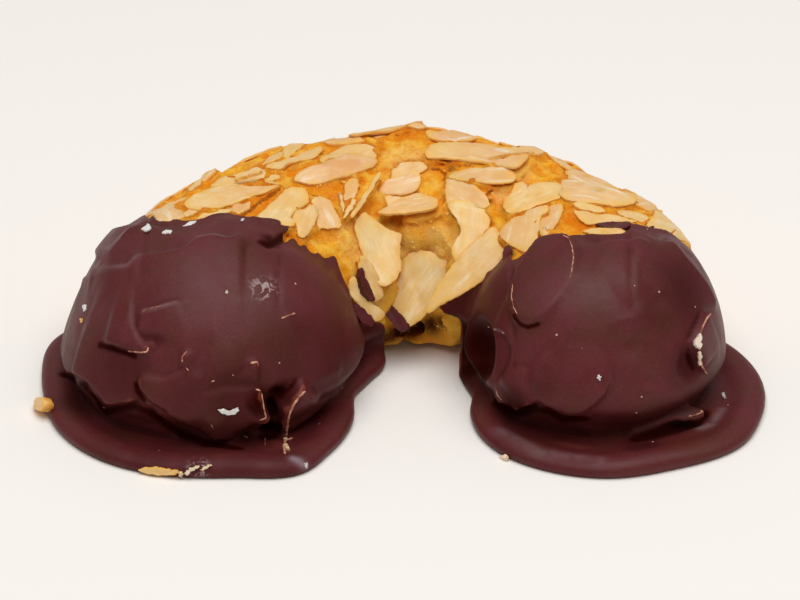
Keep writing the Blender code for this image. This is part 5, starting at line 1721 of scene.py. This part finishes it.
def coat_field(block, coat, plates, rim_flakes):
    """One coat of chocolate: a skin over the roll and its covered flakes, a foot, and a rounded rim."""
    even = roll_distance(block)
    slow, quick = (waves(block, size, coat.seed + k) for k, size in enumerate(SKIN_WAVES))
    behind = dip_distance(block, coat.dip) - RIM_QUICK * quick
    behind = behind - RIM_FINE * waves(block, RIM_WAVE, coat.seed + 2)
    skin = even - RIM_COAT - (COAT - RIM_COAT) * ease(-behind / RIM_WIDTH)
    skin = skin - SKIN_SLOW * slow - SKIN_QUICK * quick
    for lying in plates:
        lying.add_to(block, skin, FLAKE_THICK, PLATE_SKIN, PLATE_BLEND)
    for lying in rim_flakes:
        lying.add_to(block, skin, lying.thick, RIM_SKIN, RIM_BLEND)
    for step in coat.steps:
        add_step(block, skin, even - COAT, step)
    skin = smooth_min(skin, foot_distance(block, coat.foot), FOOT_BLEND).astype(np.float32)
    for crevice in on_side(CREVICES, coat.side):
        carve(block, skin, on_surface(block, skin, crevice.line), crevice.radius)
    skin = blurred(kept_near(skin), 1)
    trimmed = smooth_max(skin, behind.astype(np.float32), RIM_ROUND)
    shell = np.maximum(trimmed, -(even + SUNK))
    return np.maximum(shell, -block.z + COAT_BASE_Z)


def on_side(marks, side):
    """The marks of the photo that lie left of its middle, for side -1, or right of it."""
    firsts = [mark.line[0][0] if hasattr(mark, "line") else mark.px for mark in marks]
    return [mark for mark, first in zip(marks, firsts) if (first - PHOTO_CENTRE[0]) * side > 0]


def near(points, block, shape, spots):
    """From 0 to 1, how near points are to spots of the photo."""
    total = np.zeros(len(points))
    for spot in spots:
        place = on_surface(block, shape, [(spot.px, spot.py)])[0]
        away = np.linalg.norm(points - place, axis=1) / spot.radius
        total = np.maximum(total, spot.strength * np.exp(-away ** 3))
    return total


def beside_line(points, line):
    """How far points are from a line through the given places."""
    nearest = np.full(len(points), NOWHERE)
    for start, end in zip(line, line[1:]):
        way = end - start
        share = np.clip((points - start) @ way / max(float(way.dot(way)), TINY), 0, 1)
        nearest = np.minimum(nearest, np.linalg.norm(points - start - share[:, None] * way, axis=1))
    return nearest


def shaded(points, block, shape, side):
    """From 0 to 1, painted shade on points of a coat: how deep in a crevice or a hollow they lie, and how
    low.
    """
    total = near(points, block, shape, on_side(SHADED, side))
    for crevice in on_side(CREVICES, side):
        beside = beside_line(points, on_surface(block, shape, crevice.line))
        total = np.maximum(total, np.exp(-(beside / (crevice.radius + SHADE_REACH)) ** 4))
    z = points[:, 2]
    low = LOW_SHADE * ease((SHADE_TOP_Z - z) / SHADE_FADE)
    return np.maximum(total, low * ease((z - FOOT_THICK - SHADE_OVER_FOOT) / SHADE_RISE))


def painted_gleam(points, block, shape, side):
    """From 0 to 1, how much painted highlight points of a coat get, where they shine in the light from
    beside.
    """
    total = np.zeros(len(points))
    for mark in on_side(PAINTED_GLEAMS, side):
        beside = beside_line(points, on_surface(block, shape, mark.line))
        total = np.maximum(total, mark.strength * np.exp(-(beside / mark.width) ** 2))
    return total


def make_coat(coat, block, shape, material):
    """One coat as a piece."""
    points, faces = field_mesh(block, shape)
    relief = standing_out(block, shape, points)
    # the hollow and shade values carry painted shade, and the streaks of sheen painted highlights
    values = [("edge", np.clip((relief - COAT_EDGE_FROM) / COAT_RELIEF, 0, 1)),
              ("hollow", np.clip(-relief / COAT_RELIEF, 0, 1)),
              ("bloom", near(points, block, shape, on_side(BLOOM, coat.side))),
              ("shade", shaded(points, block, shape, coat.side)),
              ("painted_gleam", painted_gleam(points, block, shape, coat.side))]
    piece = mesh_piece(coat.piece, points, faces, material, values)
    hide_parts(coat.node)


def worn_highlit_edges(block, shape, marks, first):
    """Thin edges of a coat with a painted highlight, as uneven strings along it: points, and faces counted
    from a first point.
    """
    draw = np.random.default_rng(first)
    turns = [math.radians(360 // WORN_HIGHLIT_SIDES * k) for k in range(WORN_HIGHLIT_SIDES)]
    points, faces = [], []
    for mark in marks:
        corners = np.array(mark.line, dtype=float)
        along = np.append(0, np.cumsum(np.linalg.norm(np.diff(corners, axis=0), axis=1)))
        at = np.arange(0, along[-1] + 0.5, 1.0)
        pixels = np.stack([np.interp(at, along, corners[:, k]) for k in (0, 1)], axis=1)
        pixels = pixels + draw.uniform(-WORN_HIGHLIT_WANDER, WORN_HIGHLIT_WANDER, pixels.shape)
        places = on_surface(block, shape, pixels)
        jumps = np.linalg.norm(np.diff(places, axis=0), axis=1)
        places = places[np.append(True, jumps < WORN_HIGHLIT_JUMP)]
        count = len(places)
        if count < 3:
            continue
        places[1:-1] = (places[:-2] + 2 * places[1:-1] + places[2:]) / 4
        outward = block.lean(shape, places, WORN_HIGHLIT_FACING)
        places = places + WORN_HIGHLIT_PROUD * outward
        beside = units(np.cross(outward, np.gradient(places, axis=0)))
        taper = ease(np.minimum(np.arange(count), np.arange(count)[::-1]) / 2.0 + 0.15)
        radius = (WORN_HIGHLIT_RADIUS * mark.strength * taper * draw.uniform(*WORN_HIGHLIT_UNEVEN, count))[:, None]
        rings = [places + radius * (math.cos(a) * beside + math.sin(a) * outward) for a in turns]
        start = first + sum(len(p) for p in points)
        points.append(np.stack(rings, axis=1).reshape(-1, 3))
        for i in range(start, start + WORN_HIGHLIT_SIDES * (count - 1), WORN_HIGHLIT_SIDES):
            for k in range(WORN_HIGHLIT_SIDES):
                j = (k + 1) % WORN_HIGHLIT_SIDES
                faces.append((i + k, i + j, i + WORN_HIGHLIT_SIDES + j, i + WORN_HIGHLIT_SIDES + k))
    return points, faces


# Stage


def add_object(name, data):
    """A new object of the scene that isn't part of the almond horn."""
    added = bpy.data.objects.new(name, data)
    bpy.context.scene.collection.objects.link(added)
    return added


def make_stage():
    """Pale seamless floor, soft light from above and the camera where the photo's was."""
    pale = Nodes("pale_floor").finish(colour=(*FLOOR_COLOUR, 1), roughness=0.9, specular=0.0)
    mesh = bpy.data.meshes.new("floor")
    corners = [(x * FLOOR_HALF, y * FLOOR_HALF, 0.0) for x, y in ((-1, -1), (1, -1), (1, 1), (-1, 1))]
    mesh.from_pydata(corners, [], [(0, 1, 2, 3)])
    mesh.materials.append(pale)
    add_object("floor", mesh)

    world = bpy.data.worlds.new("studio")
    world.use_nodes = True
    background = world.node_tree.nodes["Background"]
    background.inputs["Color"].default_value = (*SKY_COLOUR, 1)
    background.inputs["Strength"].default_value = SKY_STRENGTH
    bpy.context.scene.world = world

    light = bpy.data.lights.new("overhead", "AREA")
    light.shape = "DISK"
    light.size = LAMP_SIZE
    light.energy = LAMP_ENERGY
    lamp = add_object("overhead", light)
    lamp.location = LAMP_AT
    lamp.rotation_euler = (-Vector(LAMP_AT)).to_track_quat("-Z", "Y").to_euler()

    data = bpy.data.cameras.new("camera")
    data.lens = LENS
    data.sensor_width = SENSOR
    data.shift_x, data.shift_y = CAMERA_SHIFT
    data.clip_start, data.clip_end = CLIP_FROM, CLIP_TO
    camera = add_object("camera", data)
    camera.location = CAMERA_AT * MM
    camera.rotation_euler = (math.radians(CAMERA_TILT), 0, 0)
    bpy.context.scene.camera = camera
    bpy.context.scene.view_settings.view_transform = "Standard"


def make_exposed_part(chocolate, almond):
    """The dough with its flakes, crumbs and drips. Gives back the flakes that the photo shows."""
    block = Block(*DOUGH_BOX, DOUGH_STEP)
    ground, crust = dough_field(block)
    pile, bed = ground.copy(), ground.copy()
    smooth = blurred(kept_near(ground), GROUND_BLUR)

    def pile_up(lying, held=True):
        """Adds a flake to the pile, and dough that holds it."""
        place = lying.add_to(block, pile, lying.thick)
        if held and place:
            hold(bed, ground, crust, place)

    laid = []
    for index, traced in enumerate(SHOWN_FLAKES):
        lying = trace_flake(traced, index, block, pile, smooth, REST_SHARE)
        pile_up(lying, not traced.facing)
        laid.append(lying)
    surface_points, _ = field_mesh(block, ground)
    flakes = laid + filler_flakes(block, pile, smooth, surface_points, laid, pile_up)
    joined_flakes("almond_flakes", flakes, almond)
    make_dough(block, bed, flakes, dough_material())
    make_crumbs(block, pile, bed, crumb_material())
    drips = [drip_on(drip, laid[host], index) for drip, host, index in DRIPS_ON_FLAKES]
    drips += [trace_flake(drip, FIRST_DRIP + i, block, pile, smooth, REST_SHARE)
              for i, drip in enumerate(LOOSE_DRIPS)]
    joined_flakes("chocolate_drips", drips, chocolate)
    return laid


def make_coats(laid, chocolate, almond):
    """The two coats, with the bits that stick to them and their thin edges with a painted highlight."""
    stuck, worn_highlit_points, worn_highlit_faces = [], [], []
    for coat in COATS:
        space = Block(*coat.box, COAT_STEP)
        core = np.minimum(roll_distance(space) - COAT + CORE_BELOW, foot_distance(space, coat.foot))
        covered = [trace_flake(plate, FIRST_PLATE + i, space, core, core, PLATE_SHARE)
                   for i, plate in enumerate(coat.plates)]
        crossing = [lying for lying, traced in zip(laid, SHOWN_FLAKES)
                    if (lying.middle[0] - BEND_X) * coat.side > 0 and not traced.facing]
        shape = coat_field(space, coat, covered, crossing)
        make_coat(coat, space, shape, chocolate)
        first = sum(len(p) for p in worn_highlit_points)
        lines, quads = worn_highlit_edges(space, shape, on_side(WORN_HIGHLIT_EDGES, coat.side), first)
        worn_highlit_points += lines
        worn_highlit_faces += quads
        stuck += [trace_flake(bit, FIRST_BIT + coat.seed + i, space, shape, shape, REST_SHARE)
                  for i, bit in enumerate(coat.bits)]
    joined_flakes("almond_bits", stuck, almond)
    worn_highlit_piece = mesh_piece("worn_highlit_edges", np.vstack(worn_highlit_points), worn_highlit_faces, worn_highlit_edge_material())


def main():
    """Builds the stage and the almond horn."""
    make_stage()
    chocolate, almond = chocolate_material(), flake_material()
    shown = make_exposed_part(chocolate, almond)
    make_coats(shown, chocolate, almond)


main()
